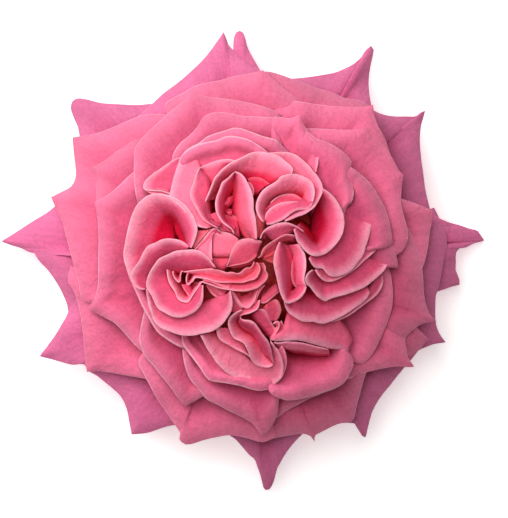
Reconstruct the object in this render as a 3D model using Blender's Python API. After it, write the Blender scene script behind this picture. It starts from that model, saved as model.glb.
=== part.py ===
"""A full-blown quartered garden rose, picked just under its hip and resting face up.

The bloom's axis is Z. The hip stands on its picked scar at the origin, the sepals spread
from the hip's collar, and the petals rise from the hip's mouth: guard petals lowest, then
capes, mantles and collars, and in the middle the folded heart. Each petal is drawn by the
line of its rim in plan, which lies on a dome that the layers share.
"""

import bisect
import math

import bmesh
import bpy
import numpy as np
from mathutils import Vector

MM = 0.001
DOME_HEIGHT = 42.0
DOME_RADIUS = 56.0
DOME_ROUNDNESS = 1.1
DOME_FALL = 1.15
LOWEST_RIM = 0.9
LIP_ROWS = 0
AXIS = (0.5, -0.87)
CLAW_GATHER = 0.55
PETAL_THICKNESS = 0.7


def dome(radius):
    """Height of the dome that the petals' rims lie on, at a distance from the axis."""
    share = min(abs(radius) / DOME_RADIUS, 1.0) ** DOME_ROUNDNESS
    return DOME_HEIGHT * max(math.cos(math.pi / 2 * share), 0.0) ** DOME_FALL


class Petal:
    """One petal: its rim in plan (x, y and a rise above the dome), and how it bends.

    tips are the rim's sharp corners. hollow is where a folded petal's blade meets at its
    foot, for petals that don't start at the axis. flare is the tilt of the blade at its
    rim, above level. roll is how far the lip turns down past the rim.
    """

    def __init__(self, name, rim, tips=(), lift=0.0, flare=None, roll=60.0, lip=1.0, rise=0.36,
                 start=80.0, reach=0.42, hollow=None, gather=0.12):
        self.name = name
        self.layer = name.split("_")[0]
        self.rim = rim
        self.tips = tips
        self.lift = lift
        self.flare = flare
        self.roll = roll
        self.lip = lip
        self.rise = rise
        self.start = start
        self.reach = reach
        self.hollow = hollow
        self.gather = gather


def rise_between(points, radius):
    """Height at a radius on the smooth line through the points (radius, height)."""
    radii = [point[0] for point in points]
    slopes = []
    for index in range(len(points)):
        before = points[max(index - 1, 0)]
        after = points[min(index + 1, len(points) - 1)]
        slopes.append((after[1] - before[1]) / (after[0] - before[0]))
    index = min(max(bisect.bisect_right(radii, radius) - 1, 0), len(points) - 2)
    (near, low), (far, high) = points[index], points[index + 1]
    width = far - near
    t = (radius - near) / width
    if t > 1:
        return high + slopes[-1] * (radius - far)
    return (low * (2 * t**3 - 3 * t**2 + 1) + slopes[index] * width * (t**3 - 2 * t**2 + t)
            + high * (3 * t**2 - 2 * t**3) + slopes[index + 1] * width * (t**3 - t**2))


GUARDS = [
    Petal("guard_east", [(46.5, -2, -2.5), (47.1, 2.2), (47.8, 3.1), (49.5, 3.4), (51, 4.2), (53.2, 4.8, -1.5),
                         (52.5, 6), (51.9, 6.9), (50, 7.4), (48, 8.1), (46, 8.6), (43, 9.8), (41, 11, -1),
                         (38, 14, -2)], tips=(5,), lift=-1.1),
    Petal("guard_east_low", [(42, -12, -3), (42.5, -7.2), (43, -6.5), (44.5, -6), (46, -5.4), (47.6, -5),
                             (47.7, -4.3), (47.3, -2.8), (46.9, -1.7), (47, 0), (47, 2), (47.8, 3.3, -1),
                             (47.5, 6, -2)], tips=(5,), lift=-2.2),
    Petal("guard_northeast_low", [(41.5, 9, -1.5), (41, 12), (40.1, 16), (39.6, 20), (39.2, 23), (38.9, 27),
                                  (39.1, 30), (39.6, 32), (40, 33.6), (39.2, 33.2), (38, 32.4), (36, 32.4),
                                  (33, 32.4), (30, 33), (27, 34.5, -1.5)], tips=(8,)),
    Petal("guard_northeast", [(27, 31, -2), (28, 34.5), (27.7, 37), (27.5, 40), (27.8, 43), (28.4, 46),
                              (28.6, 47.4), (28.1, 48.1), (27, 47.2), (26.3, 46), (25.3, 45), (24, 44),
                              (22, 43), (20, 42.2), (17, 41.6), (14, 41.1), (10.5, 40.7), (7, 40.5, -2)],
          tips=(7,), lift=-1.1),
    Petal("guard_north_low", [(10, 38, -3), (4.5, 41.5), (3.4, 42.6), (2, 45), (1, 46.8), (0.3, 48.5), (-0.1, 50.2),
                              (-0.6, 51.4), (-1.3, 51.7), (-1.9, 51.4), (-2.3, 50.5), (-2.5, 49), (-2.7, 47),
                              (-5, 43, -2), (-10, 39, -4)], lift=-2.2),
    Petal("guard_north", [(6, 40, -2), (3.4, 42.5), (1.5, 43.4), (0, 44.5), (-1, 45.2), (-2, 46.3), (-3, 47.5),
                          (-3.8, 48.5), (-4.3, 49.8), (-4.85, 51.1), (-5.3, 50.3), (-6.5, 48.7), (-8, 46.6),
                          (-10, 44.3), (-12, 42.4), (-14, 40.6), (-16, 39), (-18, 37.5), (-20, 35.6),
                          (-22, 33.6), (-24, 32, -1)], tips=(9,)),
    Petal("guard_northwest", [(-15, 36.5, -3), (-20, 35.3, -1), (-24, 34.9), (-28, 35.1), (-32, 35.4),
                              (-34, 35.9), (-36, 36.4), (-37.7, 36.5), (-38.7, 35.8), (-38.9, 34.3),
                              (-38.2, 32.3), (-37.3, 30.3), (-36.9, 28.5), (-36.5, 26, -1), (-36, 22, -3)],
          lift=-1.1),
    Petal("guard_west", [(-37, 17, -3), (-40, 14, -1), (-42.5, 12.2), (-44, 11), (-46, 9.8), (-48, 8.6),
                         (-50, 7.3), (-52, 6), (-54.2, 4.6), (-52, 3.8), (-50, 3.2), (-48, 2.3), (-44, 1.6),
                         (-40, 1.8, -0.5), (-36, 1, -2)], tips=(8,)),
    Petal("guard_west_low", [(-44, 6, -2), (-47, 3), (-46, 0.5), (-44, -1.6), (-42, -4.3), (-40.5, -7),
                             (-39.5, -9.5), (-39, -12), (-37, -16, -2)], lift=-1.1),
    Petal("guard_southwest", [(-37, -6, -1), (-38, -8.3), (-38.8, -10), (-39.6, -12), (-40.5, -13.5), (-42, -16),
                              (-44, -18.8), (-45.6, -20.9), (-43.5, -21.5), (-41, -22.2), (-38.5, -22.8),
                              (-36, -22.7), (-33, -24, -1.5), (-30, -26, -3)], tips=(7,)),
    Petal("guard_south_southwest", [(-36, -22, -2), (-34.7, -24.2), (-33, -25.2), (-31, -26.8), (-28.5, -28.9),
                                    (-27.3, -30.3), (-26.3, -32.5), (-25.8, -35), (-25.1, -38.2), (-22, -38),
                                    (-20, -37.4), (-18, -36.7), (-16, -36.2), (-13, -36, -2)],
          tips=(8,), lift=-1.1),
    Petal("guard_south", [(-8, -35, -3), (-3.3, -38.5), (-2, -39.4), (0, -41.7), (1, -42.9), (2.2, -43.9),
                          (2.8, -45.5), (3.5, -47.5), (4, -49.5), (4.3, -50.6), (4.9, -51), (5.6, -50.5),
                          (6.3, -49), (6.7, -47.5), (7.1, -46), (8, -44.3), (9, -42.6), (10.3, -40.8),
                          (12, -38.9), (14, -37, -1), (17, -34, -3)]),
    Petal("guard_southeast", [(16, -36, -3), (20, -35.8, -1), (22, -35.7), (24.3, -35.9), (25.3, -36.3),
                              (26, -37.3), (26.3, -38.8), (26.65, -39.2), (27, -38.5), (27.3, -37), (27.8, -35),
                              (28.3, -33.3), (29.3, -31.3), (30.5, -29.5), (32, -27.7), (33.5, -25.8),
                              (35, -24), (37, -21.5, -1), (38.5, -18, -3)], lift=-1.1),
    Petal("guard_east_southeast", [(34, -24, -3), (36.5, -22.1), (37.5, -21), (38.6, -19.6), (40.2, -18.9),
                                   (42, -18.2), (44.4, -17.8), (43.2, -16), (42.5, -14), (42.3, -12),
                                   (42.3, -10), (42.4, -7.5), (43, -5.5), (43.7, -2), (44.3, 1.5), (44.9, 4.5),
                                   (44, 8, -1), (42, 12, -3)], tips=(6,)),
]

CAPES = [
    Petal("cape_west", [(-14, 33.5, -2), (-17, 32.5), (-19, 32.7), (-22, 32.6), (-23.5, 32.3), (-26, 31.3),
                        (-29, 30), (-31.5, 29), (-34, 28.2), (-36.5, 27.8), (-38.1, 27.5), (-38, 25),
                        (-37.7, 22), (-37.5, 20), (-37.7, 18.3), (-38.7, 16.6), (-41, 15.3), (-42.8, 14.3),
                        (-42, 12.2), (-41, 10.3), (-40.3, 8.5), (-39.7, 6), (-39, 3.5), (-38.2, 0.5),
                        (-37.3, -2.5), (-36.7, -5), (-36.1, -8), (-34.5, -9), (-32, -10, -1.5)],
          tips=(10, 17), lift=-1.1),
    Petal("cape_southwest", [(-38.5, -1, -1.5), (-39.2, -4.2, -0.5), (-38, -6.2), (-37.2, -8.5), (-36.7, -10.5),
                             (-36.1, -14), (-35.7, -18), (-35.3, -22), (-34.9, -24.2), (-33, -24.1),
                             (-31.5, -24.2), (-29, -24.6), (-26, -25.1), (-22, -25.7), (-18, -26.5, -2)],
          tips=(8,), lift=-2.2),
    Petal("cape_south_southwest", [(-21, -17, -2), (-22.4, -20), (-23.4, -22), (-22.6, -24), (-21.3, -26.5),
                                   (-19.5, -30), (-17.5, -33), (-15.5, -36), (-14.3, -38), (-14.5, -39.4),
                                   (-13.3, -40.4), (-11.8, -40.3), (-9, -39.4), (-6, -38.7), (-3.5, -38.3),
                                   (-1, -38.6), (2, -39.4), (4, -39.8), (7, -38.5, -1.5)]),
    Petal("cape_south_southeast", [(1, -38.5, -1.5), (3.5, -39.8, -0.6), (6, -39.1), (9, -38.5), (12, -38.0),
                                   (13.5, -38.1), (14.7, -38.6), (15.35, -39.6), (15.4, -38.4), (17, -37.6),
                                   (19, -36.6), (21, -35.8), (23, -35.6), (24.1, -34.8), (24.7, -32),
                                   (25.7, -28), (26.5, -25), (27.5, -22, -1)], tips=(7,), lift=-1.1),
    Petal("cape_southeast", [(19, -26.5, -1), (22, -25.9), (24, -25.3), (26, -24.6), (28, -24), (31, -23.4),
                             (34, -23), (36, -23.2), (37.3, -23.1), (36.3, -21.7), (35.9, -20.5), (35.7, -19),
                             (35.4, -17.5), (36, -15, -1), (36.5, -12, -3)], tips=(8,)),
    Petal("cape_east_small", [(36, -21, -2), (38.4, -19.5, -1), (39.5, -18.2), (40.5, -17.1), (39.2, -15.8),
                              (38, -14.6), (36.5, -13.5), (35, -11, -2)], tips=(3,), lift=-1.1),
    Petal("cape_east_low", [(34, -18, -2), (36.5, -15.5, -0.5), (38.5, -14), (40.3, -13.3), (42.2, -13.1),
                            (41, -11.8), (40.3, -10.3), (39.8, -8.5), (39.5, -6), (39.3, -3), (38.9, 0),
                            (38.2, 2), (37.3, 4.5), (36.3, 7), (34.5, 9, -1)], tips=(4,)),
    Petal("cape_east", [(37.5, -4, -2), (39.3, -1), (40.1, 1.5), (40.6, 4), (40.9, 6.5), (41.3, 9), (41.3, 11.4),
                        (40, 11.9), (38.5, 12.6), (36.5, 13.3), (34.5, 13.9), (31, 15, -1.5)], tips=(6,),
          lift=-1.1),
    Petal("cape_northeast", [(33, 21, -2), (31.9, 24.5), (31, 27.3), (29.6, 29.8), (28.7, 32), (28.4, 33.5),
                             (28.25, 34.7), (27, 34.4), (24, 34.3), (20, 34.4), (17, 34.7), (14, 35.1),
                             (11.5, 35.5), (9, 35.3), (7, 34.5), (5.5, 33.5), (4.2, 32.2), (3, 30, -1)],
          tips=(6,)),
    Petal("cape_north_northeast", [(29, 31, -2), (28, 34.2, -1), (27, 34.9), (25.5, 35.8), (24, 36.1), (22, 36.4),
                                   (20, 37.3), (18, 38), (15.5, 38.7), (13, 39.7), (10.5, 40.6), (8, 41.5),
                                   (6, 42.1), (4, 42.2), (2, 41, -1.5), (0, 39, -3)], lift=-1.1),
    Petal("cape_north", [(12.5, 35, -1.5), (11, 36.5), (9.5, 37.6), (8, 38.8), (6.5, 40.1), (5, 41.4), (4, 42.2),
                         (2.5, 41.9), (0, 41.5), (-3, 41), (-6, 40.1), (-9, 39.6), (-11.5, 38.7), (-14, 37.3),
                         (-16.5, 36), (-17.6, 35.2), (-17.6, 34.3), (-17, 32.8), (-16, 31, -1.5)], tips=(6,)),
]

MANTLES = [
    Petal("mantle_northwest", [(-21.5, 28.8, -1.5), (-24.5, 26.9), (-26, 26), (-28, 24.7), (-30, 23.1),
                               (-32, 21.8), (-33.8, 20.8), (-33.2, 19), (-32.9, 17), (-32.8, 15),
                               (-32.8, 12.5, -0.5), (-31.5, 9, -2)], tips=(6,), lift=-2.2),
    Petal("mantle_west", [(-22.5, 21.3, -1), (-24.5, 19.7), (-26, 18.5), (-27.5, 17), (-29.3, 15.4), (-31, 14.2),
                          (-33, 13.1), (-32.6, 11), (-32.3, 8), (-32.2, 4), (-32.3, 0), (-32.3, -4),
                          (-32.8, -7), (-33.7, -9), (-34.5, -10.4), (-33, -11.1), (-31, -12.2), (-29, -13.2),
                          (-27.3, -14.7), (-25, -17.3), (-23.3, -19), (-21.5, -20.5, -1)], tips=(6, 14),
          lift=-1.1),
    Petal("mantle_north", [(8, 32, -1), (6, 33.5), (3, 34.6), (0, 35.3), (-3, 35.8), (-6, 36.2), (-9, 36.6),
                           (-11.7, 37.3), (-13, 36), (-14.5, 34.7), (-17, 32.7), (-19, 30.8), (-21, 29),
                           (-23, 27), (-24.3, 25), (-24.4, 23), (-24.4, 20), (-24.2, 17), (-23.8, 14.5),
                           (-23, 11.5, -1)], tips=(7,)),
    Petal("mantle_northeast", [(31.5, 0.5, -1), (33.6, 1.7), (34.9, 2.8), (35.9, 5), (35.9, 7), (35.2, 9.6),
                               (34.6, 12), (34.4, 14), (34.6, 17), (34.8, 19.2), (34, 20), (33.2, 21.6),
                               (32, 24), (31, 25.4), (29, 27), (26.5, 29.3), (22, 29.1), (18, 29.3),
                               (14, 29.3), (11.5, 29, -1)], tips=(9, 15)),
    Petal("mantle_southeast", [(21, -17.5, -1), (23, -20), (24, -21.9), (25.2, -22.3), (26.8, -21.7),
                               (28.3, -20), (29.8, -17), (31.5, -13), (32.4, -10), (32.6, -7), (32.1, -3),
                               (31, 0, -1)], lift=-1.1),
    Petal("mantle_south", [(-13.4, -17, -0.5), (-13.6, -19), (-13.2, -22), (-12.4, -24.8), (-11.5, -26.3),
                           (-10, -28), (-8.5, -30), (-6, -31.3), (-3.5, -32.7), (-1, -34), (1.5, -35.4),
                           (2.8, -36.9), (3.8, -38.3), (5, -37.2), (6.2, -35.5), (6.9, -34), (7.2, -32),
                           (7.5, -29.5, -0.5)], tips=(12,), lift=1.1),
    Petal("mantle_south_southeast", [(4, -35, -1.5), (6.9, -34.4), (9, -32.9), (11, -31.8), (14, -30.2),
                                     (17, -29), (20, -27.9), (23, -26, -0.5), (25, -23, -1.5)], lift=-2.2),
    Petal("mantle_southwest", [(-21, -8.5, -1), (-21.9, -10.6), (-22.6, -13.5), (-23.1, -16.4), (-22.9, -18.3),
                               (-21.8, -20.8), (-20.2, -22.6), (-18.5, -24.8), (-16.5, -27.3), (-14.8, -29.8),
                               (-13.1, -31.7), (-11.5, -30.8), (-10, -29.9), (-8, -29, -0.5), (-5, -29, -2)],
          tips=(10,)),
]

COLLARS = [
    Petal("collar_north", [(9, 30.5, -1), (6.2, 31.7), (4, 31.9), (2, 32), (-1, 32.2), (-3, 32.7), (-6, 33),
                           (-8, 32.5), (-9.3, 31.7), (-10.3, 30), (-12, 28), (-14, 26.3), (-15.3, 24.5),
                           (-15.9, 22.8), (-16, 20.5, -1)], lift=-1.1),
    Petal("collar_north_northeast", [(16.2, 22, -1), (15.8, 24.8), (14.5, 27.6), (13.1, 29.7), (12.4, 31.2),
                                     (12.2, 32.4), (10, 31.5), (8, 31.8), (6.1, 31.8), (6.5, 30),
                                     (7.5, 28, -0.3), (8.5, 26, -1)], tips=(5,)),
    Petal("collar_upper", [(10.5, 23, -1), (8.8, 24.6), (7.5, 26), (6.5, 26.8), (4.5, 27.3), (2.5, 28),
                           (0.5, 28.8), (-1, 29.3), (-2.5, 29.4), (-4, 28.9), (-6, 28.3), (-8.3, 27.4),
                           (-10, 26), (-12.5, 24.7), (-14, 23, -1)], lift=1.1),
    Petal("collar_inner", [(6, 23, -0.8), (4.5, 24.3), (3, 25.4), (1, 26.6), (-1, 27.2), (-3, 27.5), (-4.5, 27.3),
                           (-6, 26.6), (-9, 26), (-11, 25.3), (-13, 24), (-14.5, 22, -1)], lift=2.2),
    Petal("collar_northeast", [(21.3, 9, -0.5), (21.7, 11), (22.3, 12.2), (23.3, 13.2), (23.8, 15), (23.5, 17),
                               (22.9, 19), (23.1, 20.5), (23.4, 22), (22.3, 23.5), (20.5, 25), (18, 26.3),
                               (15.5, 27.2), (13.8, 28.5), (12, 28, -1)], lift=1.1),
    Petal("collar_east", [(27.5, 2.2, -1), (29.5, 3), (31, 3.2), (32.3, 4.3), (32.1, 6.5), (31.7, 9),
                          (30.8, 11.8), (29.5, 14.3), (28, 16.7), (26, 18.8), (23.4, 20.7), (21, 21.5, -1)],
          tips=(3,)),
    Petal("collar_east_low", [(29, -3, -1.2), (31.5, -1), (32.3, -1), (33.6, -1.3), (33.2, 1.5), (32.5, 3.5),
                              (31, 5, -1)], tips=(3,), lift=-1.1),
    Petal("collar_west", [(-24.5, 8, -1), (-26.2, 3.5), (-26.4, 1), (-25.4, -2.7), (-24.4, -5), (-23.3, -7.5),
                          (-22.3, -9.7), (-21, -12), (-19.2, -15), (-17, -16.8), (-15, -18), (-13.5, -18.6),
                          (-11, -18.5, -1)]),
    Petal("collar_southwest", [(-13.5, -14.5, -1), (-13.7, -16.2), (-13.4, -18), (-12, -20), (-10, -22.7),
                               (-8.3, -25.3), (-7, -26), (-4, -26.4), (-1, -27), (1.5, -27.8), (3.5, -28.1),
                               (6, -27.5, -0.5), (8, -26, -1.5)], lift=1.1),
    Petal("collar_southeast", [(5, -27.5, -0.8), (6, -29), (9, -30.3), (12, -30.1), (15, -29.3), (18, -28.3),
                               (20, -27.5), (22, -26.2), (23, -24.5), (23.8, -22.8), (23.6, -21.3),
                               (22.5, -19.5, -0.5), (21, -17.5, -1.5)]),
]

HEART = [
    Petal("heart_loop_west", [(-11.4, 2.7), (-10.7, 4.5), (-10.3, 7), (-10.6, 8.5), (-11.5, 10.8), (-12.8, 12.3),
                              (-14.5, 13.8), (-16.5, 14.6), (-18.5, 14.9), (-20.5, 14.8), (-22.5, 13.8),
                              (-23.8, 12.2), (-24.8, 10), (-25.6, 7.5), (-26, 5), (-26.3, 2.5), (-26.2, 0.5),
                              (-25.5, -1.5), (-24.8, -3), (-24, -5)],
          hollow=(-16.8, 4.5, 22.0), flare=38, lip=1.6, roll=100, lift=-0.4),
    Petal("heart_loop_west_inner", [(-12.3, 3.2), (-13.5, 4.1), (-15, 4.7), (-17, 5), (-18.5, 4.5), (-20, 4),
                                    (-21.5, 3), (-22.5, 1.5), (-23.5, 0), (-24.3, -1.5), (-24.7, -3),
                                    (-24.2, -4.8), (-23.3, -5.8), (-22, -6)],
          hollow=(-17.0, -2.0, 22.0), flare=62, lift=-1.0),
    Petal("heart_spiral", [(-6.8, -1), (-8, 0.3), (-9.3, 1.8), (-10.5, 2.5), (-12, 2.6), (-14, 2.4), (-16, 1.8),
                           (-18, 0.9), (-19.5, -0.5), (-20.5, -2), (-21.3, -4), (-21.4, -5.5), (-20.3, -7.5),
                           (-19.5, -9.5), (-18.3, -10.6), (-16.5, -11.4), (-14.5, -11.8), (-12.5, -11.6),
                           (-11, -10.9), (-9.9, -9.7), (-9.2, -8), (-8.9, -4.7)],
          hollow=(-14.0, -4.5, 22.4), flare=58, lip=1.2, roll=90, lift=0.2),
    Petal("heart_bowl_west", [(-21.5, -5.5), (-21.5, -7.5), (-21, -9.5), (-20.3, -11.5), (-19.3, -13.2),
                              (-17.5, -14.6), (-15.5, -15.5), (-13, -16), (-10.5, -15.8), (-8, -15.2),
                              (-6, -14.2), (-4.3, -12.5), (-3.2, -10.8), (-2.7, -9), (-2.8, -7.5), (-3.1, -6.2)],
          hollow=(-11.5, -7.5, 22.4), flare=14, lip=2.0, roll=80, lift=0.4, start=75, rise=0.55),
    Petal("heart_fold_west", [(-17, -2.5), (-16.8, -4), (-16, -5.5), (-15.2, -7), (-14.5, -8.2), (-13.2, -8.7),
                              (-12.2, -8.5), (-11.5, -7.5), (-10.7, -6), (-9.8, -4.8), (-9.3, -4.2)],
          hollow=(-13.4, -4.6, 23.0), flare=72, lift=-2.5),
    Petal("heart_ribbon_upper", [(-12.5, -2.2), (-10, -1.7), (-8, -1.6), (-6, -1.8), (-4.5, -2.1), (-3, -2.2),
                                 (-1.3, -2.5), (-0.3, -1.9), (1, -1.4), (1.7, -0.7), (2.1, 0)],
          hollow=(-4.0, 1.5, 23.6), flare=66, lift=-1.6, gather=0.4),
    Petal("heart_ribbon_middle", [(-10.8, -3.2), (-9, -3.3), (-7, -3.7), (-5, -4.1), (-3, -4.3), (-1, -4.3),
                                  (0.5, -4), (2, -3.5), (2.9, -2.8), (3.3, -1.8), (3.2, -0.9), (2.6, -0.2)],
          hollow=(-3.2, 0.5, 23.6), flare=60, lift=-0.8, gather=0.4),
    Petal("heart_ribbon_lower", [(-9.3, -4.2), (-7.5, -4.5), (-6, -5), (-4.5, -5.6), (-2.5, -5.9), (-0.5, -6.1),
                                 (1, -6), (2.5, -5.5), (4, -4.7), (4.8, -3.7), (5, -2.7), (4.6, -2.1),
                                 (4.5, -1), (4.2, -0.2)],
          hollow=(-2.2, -0.5, 23.6), flare=56, gather=0.4),
    Petal("heart_leaf", [(-4, -0.9), (-3.3, 0.8), (-2.8, 2.4), (-2, 3.8), (-1, 4.6), (0.3, 5), (2, 5),
                         (3.9, 4.6)], hollow=(1.8, 0.4, 23.6), flare=25, lift=-1.0, gather=0.3),
    Petal("heart_leaf_northwest", [(-7.2, 2), (-7.1, 4), (-6.9, 5.7), (-6.3, 6.5), (-5, 6.6), (-3.5, 6.3),
                                   (-2.3, 5.9), (-1.3, 5)],
          hollow=(-3.6, 2.2, 23.6), flare=45, lift=-3.0, gather=0.3),
    Petal("heart_wedge", [(-11.2, 2.8), (-10, 4), (-9, 5.3), (-8, 6.7), (-7, 7.5), (-5.5, 7)],
          hollow=(-6.6, 3.0, 23.6), flare=60, lift=-2.2, gather=0.3),
    Petal("heart_cup_south", [(-3.1, -6.2), (-2, -7.2), (-1.3, -8.8), (-0.5, -9.7), (0.5, -10.2), (1.5, -9.8),
                              (2.3, -8.5), (2.7, -7)],
          hollow=(-0.2, -6.0, 23.6), flare=60, lift=-2.6, gather=0.2),
    Petal("heart_leaf_south", [(5.2, -8.8), (7.4, -8.3), (7.8, -9.5), (7.9, -10.7), (7.5, -12), (7, -12.5)],
          hollow=(5.2, -10.6, 23.6), flare=35, lift=-3.0, gather=0.2),
    Petal("heart_leaf_south_low", [(3, -10.2), (4, -10.2), (5, -11), (5.5, -12), (6, -13.3), (6.5, -14.5),
                                   (6.5, -15.3), (5.8, -16.3)],
          hollow=(3.2, -13.6, 23.6), flare=30, lift=-2.4, gather=0.2),
    Petal("heart_ribbon_east", [(3.9, 6.2), (5, 7.3), (6.5, 8.1), (8, 8.5), (9.5, 8.3), (10.8, 7.9), (12, 7.1)],
          hollow=(8.2, 2.5, 23.4), flare=15, lift=0.2, gather=0.5, start=80, rise=0.5),
    Petal("heart_loop_east", [(12, 6.9), (10.6, 6), (11.2, 4.3), (12.3, 2.8), (13.8, 1.6), (15.2, 1.2),
                              (16.8, 1.2), (18, 1.9), (19.3, 3), (20.3, 4.3), (21.2, 6), (21.6, 8),
                              (21.3, 10), (20.7, 11.8), (19.7, 13.3), (18.5, 14.7), (17, 15.8)],
          hollow=(15.6, 7.6, 22.4), flare=34, lip=1.6, roll=100, lift=0.4),
    Petal("heart_ribbon_east_inner", [(3.6, 2.2), (4, 3.2), (5, 4.1), (6, 4.7), (7, 5.4), (8.3, 5.9), (9.5, 6),
                                      (10.6, 5.7)], hollow=(8.0, 2.0, 23.4), flare=68, lift=-1.2, gather=0.4),
    Petal("heart_scoop_east", [(7.5, 4.3), (6.7, 3), (6.4, 1.5), (6.3, 0), (6.6, -2), (7, -4), (7.5, -6),
                               (8.2, -7.8), (9, -8.8), (10, -9), (11.3, -8.4), (12.5, -7.3), (13.3, -6),
                               (13.5, -5), (13.2, -3), (13.4, -1), (13.2, 1), (12.7, 2.2)],
          hollow=(10.3, -2.0, 22.6), flare=42, lip=1.5, roll=90, lift=0.8),
    Petal("heart_crescent_east", [(13.5, 1.3), (14, 0.3), (15, -0.8), (16, -1.5), (17.2, -2), (18.5, -2.8),
                                  (20, -3.2), (21.5, -2.8), (22.8, -2), (24, -0.8), (25, 0.5), (26, 2),
                                  (27, 4.3), (27.8, 7)], hollow=(19.0, 4.0, 22.0), flare=48, lift=-0.4),
    Petal("heart_lobe_east", [(13.8, -2), (13.2, -3.3), (13.7, -5), (15, -6.5), (16, -7.5), (17.5, -8.5),
                              (19, -8), (21, -7.3), (23, -6.6), (25, -5.8), (27, -4.6), (29, -3),
                              (31, -1.4), (31.5, -0.2), (30, 0.2), (28, 0.5)], tips=(13,),
          hollow=(21.0, -2.8, 22.0), flare=16, lift=-0.6),
    Petal("heart_bowl_southeast", [(8.7, -9.2), (9, -10.2), (10, -11.5), (11.5, -12.4), (13, -12.9),
                                   (14.5, -12.9), (16.5, -13.3), (18.5, -12.9), (20.5, -12.3), (22.5, -11.3),
                                   (24.5, -10), (26.5, -8.7), (28.5, -7), (29.8, -5.2), (30.3, -3.5)],
          hollow=(18.5, -5.5, 22.0), flare=36, lip=1.3, roll=90, lift=0.2),
    Petal("heart_crown", [(-8.3, 14), (-7.8, 15.8), (-6.7, 18.2), (-5, 20.3), (-3, 21.6), (-1, 22.3),
                          (0.5, 23.2), (2.5, 24), (4.5, 23.8), (6, 23.4), (8, 22.8), (9.3, 21.8), (10.3, 20.8),
                          (10.6, 20), (10.3, 19.3)], hollow=(1.2, 14.5, 22.6), flare=40, lift=-0.2),
    Petal("heart_wrap_northeast", [(5.2, 23.7), (8.5, 23.9), (10, 23.8), (12, 22.9), (14, 21.2), (15.5, 19.5),
                                   (16.4, 18), (16.9, 16.2), (16.7, 15), (16, 13.5), (15.2, 11.7),
                                   (14, 10.8), (12.5, 10), (11, 9.5), (9.5, 9), (8.5, 8.9)],
          hollow=(9.8, 15.5, 22.2), flare=34, lift=-0.6),
    Petal("heart_cup_northeast", [(4.2, 9.5), (3, 10.3), (2.5, 12), (2.7, 13.5), (3.5, 15), (4.5, 16.3),
                                  (6, 17.3), (7.5, 18.3), (8.8, 19), (10.3, 19.2), (12, 18.9), (13.5, 18.2),
                                  (14.4, 17.3), (15, 15.8), (15.2, 14.5), (15, 13)],
          hollow=(8.8, 13.2, 23.0), flare=46, lift=-1.4),
    Petal("heart_fold_northeast", [(4.3, 11.5), (5.5, 12.8), (7, 14), (8.5, 14.7), (10, 14.9), (11.5, 14.6),
                                   (12.9, 13.4)], hollow=(9.2, 11.4, 23.2), flare=66, lift=-3.0, gather=0.3),
    Petal("heart_fold_northeast_low", [(4.3, 8.8), (5.5, 10.3), (7, 11.8), (8.5, 12.7), (10.5, 13.1), (12, 13.2),
                                       (14, 12.9), (14.7, 13.2)],
          hollow=(9.6, 9.6, 23.2), flare=64, lift=-2.0, gather=0.4),
    Petal("heart_lobe_northwest", [(-13, 23.3), (-15, 22.6), (-17, 21.7), (-19, 20.2), (-20.5, 19.4),
                                   (-21.8, 18), (-22.2, 16.8), (-21.8, 15.9), (-19.5, 15.5), (-17.5, 15.2),
                                   (-16.2, 14.7)], hollow=(-15.2, 17.8, 21.4), flare=4, lift=-0.8),
    Petal("heart_flame_northwest", [(-16.1, 14.8), (-15.8, 17), (-15.2, 19), (-14.6, 21), (-13.8, 22.6),
                                    (-12.8, 23.8), (-11.8, 24.4), (-11, 22.5), (-10.2, 20.5)], tips=(6,),
          hollow=(-12.9, 17.0, 21.8), flare=30, lift=-0.4),
    Petal("heart_flame_north", [(-8.5, 16.5), (-8.6, 18), (-9.3, 19), (-10.1, 20.3), (-10.8, 18.5), (-11.3, 16.8),
                                (-11.8, 14.7), (-11.6, 13.8), (-11, 12.5), (-10, 10.5), (-9, 9.3), (-8, 8.4),
                                (-7, 7.8), (-6.2, 7.5)], tips=(3,), hollow=(-8.4, 13.0, 23.0), flare=44,
          lift=-0.8),
    Petal("heart_tall_north", [(-2.3, 6.2), (-2.8, 7), (-3.5, 7.9), (-4.8, 8.8), (-5.8, 10), (-6.3, 11.2),
                               (-6.4, 13), (-6, 14.7), (-5.3, 16.5), (-4.8, 17.5), (-3.5, 18.8), (-2.1, 19.7),
                               (-1.2, 19.3), (0, 18.3), (0.8, 17), (1.5, 15.5), (1.9, 14), (2.3, 11.5),
                               (2.6, 9.5), (2.8, 8), (2.8, 5.5)], tips=(11,),
          hollow=(-1.6, 11.8, 23.2), flare=44, lift=-0.6),
    Petal("heart_band_south_east", [(6.2, -16.7), (7, -16), (8.5, -15.5), (10.5, -15.4), (13, -15.6),
                                    (15.5, -16), (18, -16.5), (21, -17.8), (22.5, -19)],
          hollow=(14.0, -12.0, 22.4), flare=12, lift=0.2, gather=0.3, start=75, rise=0.5),
    Petal("heart_band_south_east_low", [(6, -17), (8, -17.3), (10, -17.2), (12.5, -17.4), (15, -18),
                                        (17.5, -18.8), (20, -19.2), (22, -19.3), (22.9, -19.4), (23.1, -18.7),
                                        (22.8, -17.5), (22, -16), (21, -14.8), (19.8, -13.8)], tips=(8,),
          hollow=(15.0, -13.4, 22.0), flare=14, lift=-0.8, start=70),
    Petal("heart_fold_south", [(-6.2, -14.2), (-6, -15.5), (-5.3, -16.8), (-4, -17.6), (-2.5, -18.6),
                               (-1, -19.5), (0.5, -20.3), (1, -21), (1.8, -22.2), (3.5, -22.9), (5, -23),
                               (6, -22.6), (6.4, -22), (6.3, -21)],
          hollow=(0.8, -16.8, 22.6), flare=50, lift=-1.0),
    Petal("heart_slot_south", [(-0.8, -10.2), (-2, -10.6), (-3.2, -11.8), (-3.7, -13), (-3.5, -14.5),
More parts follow.
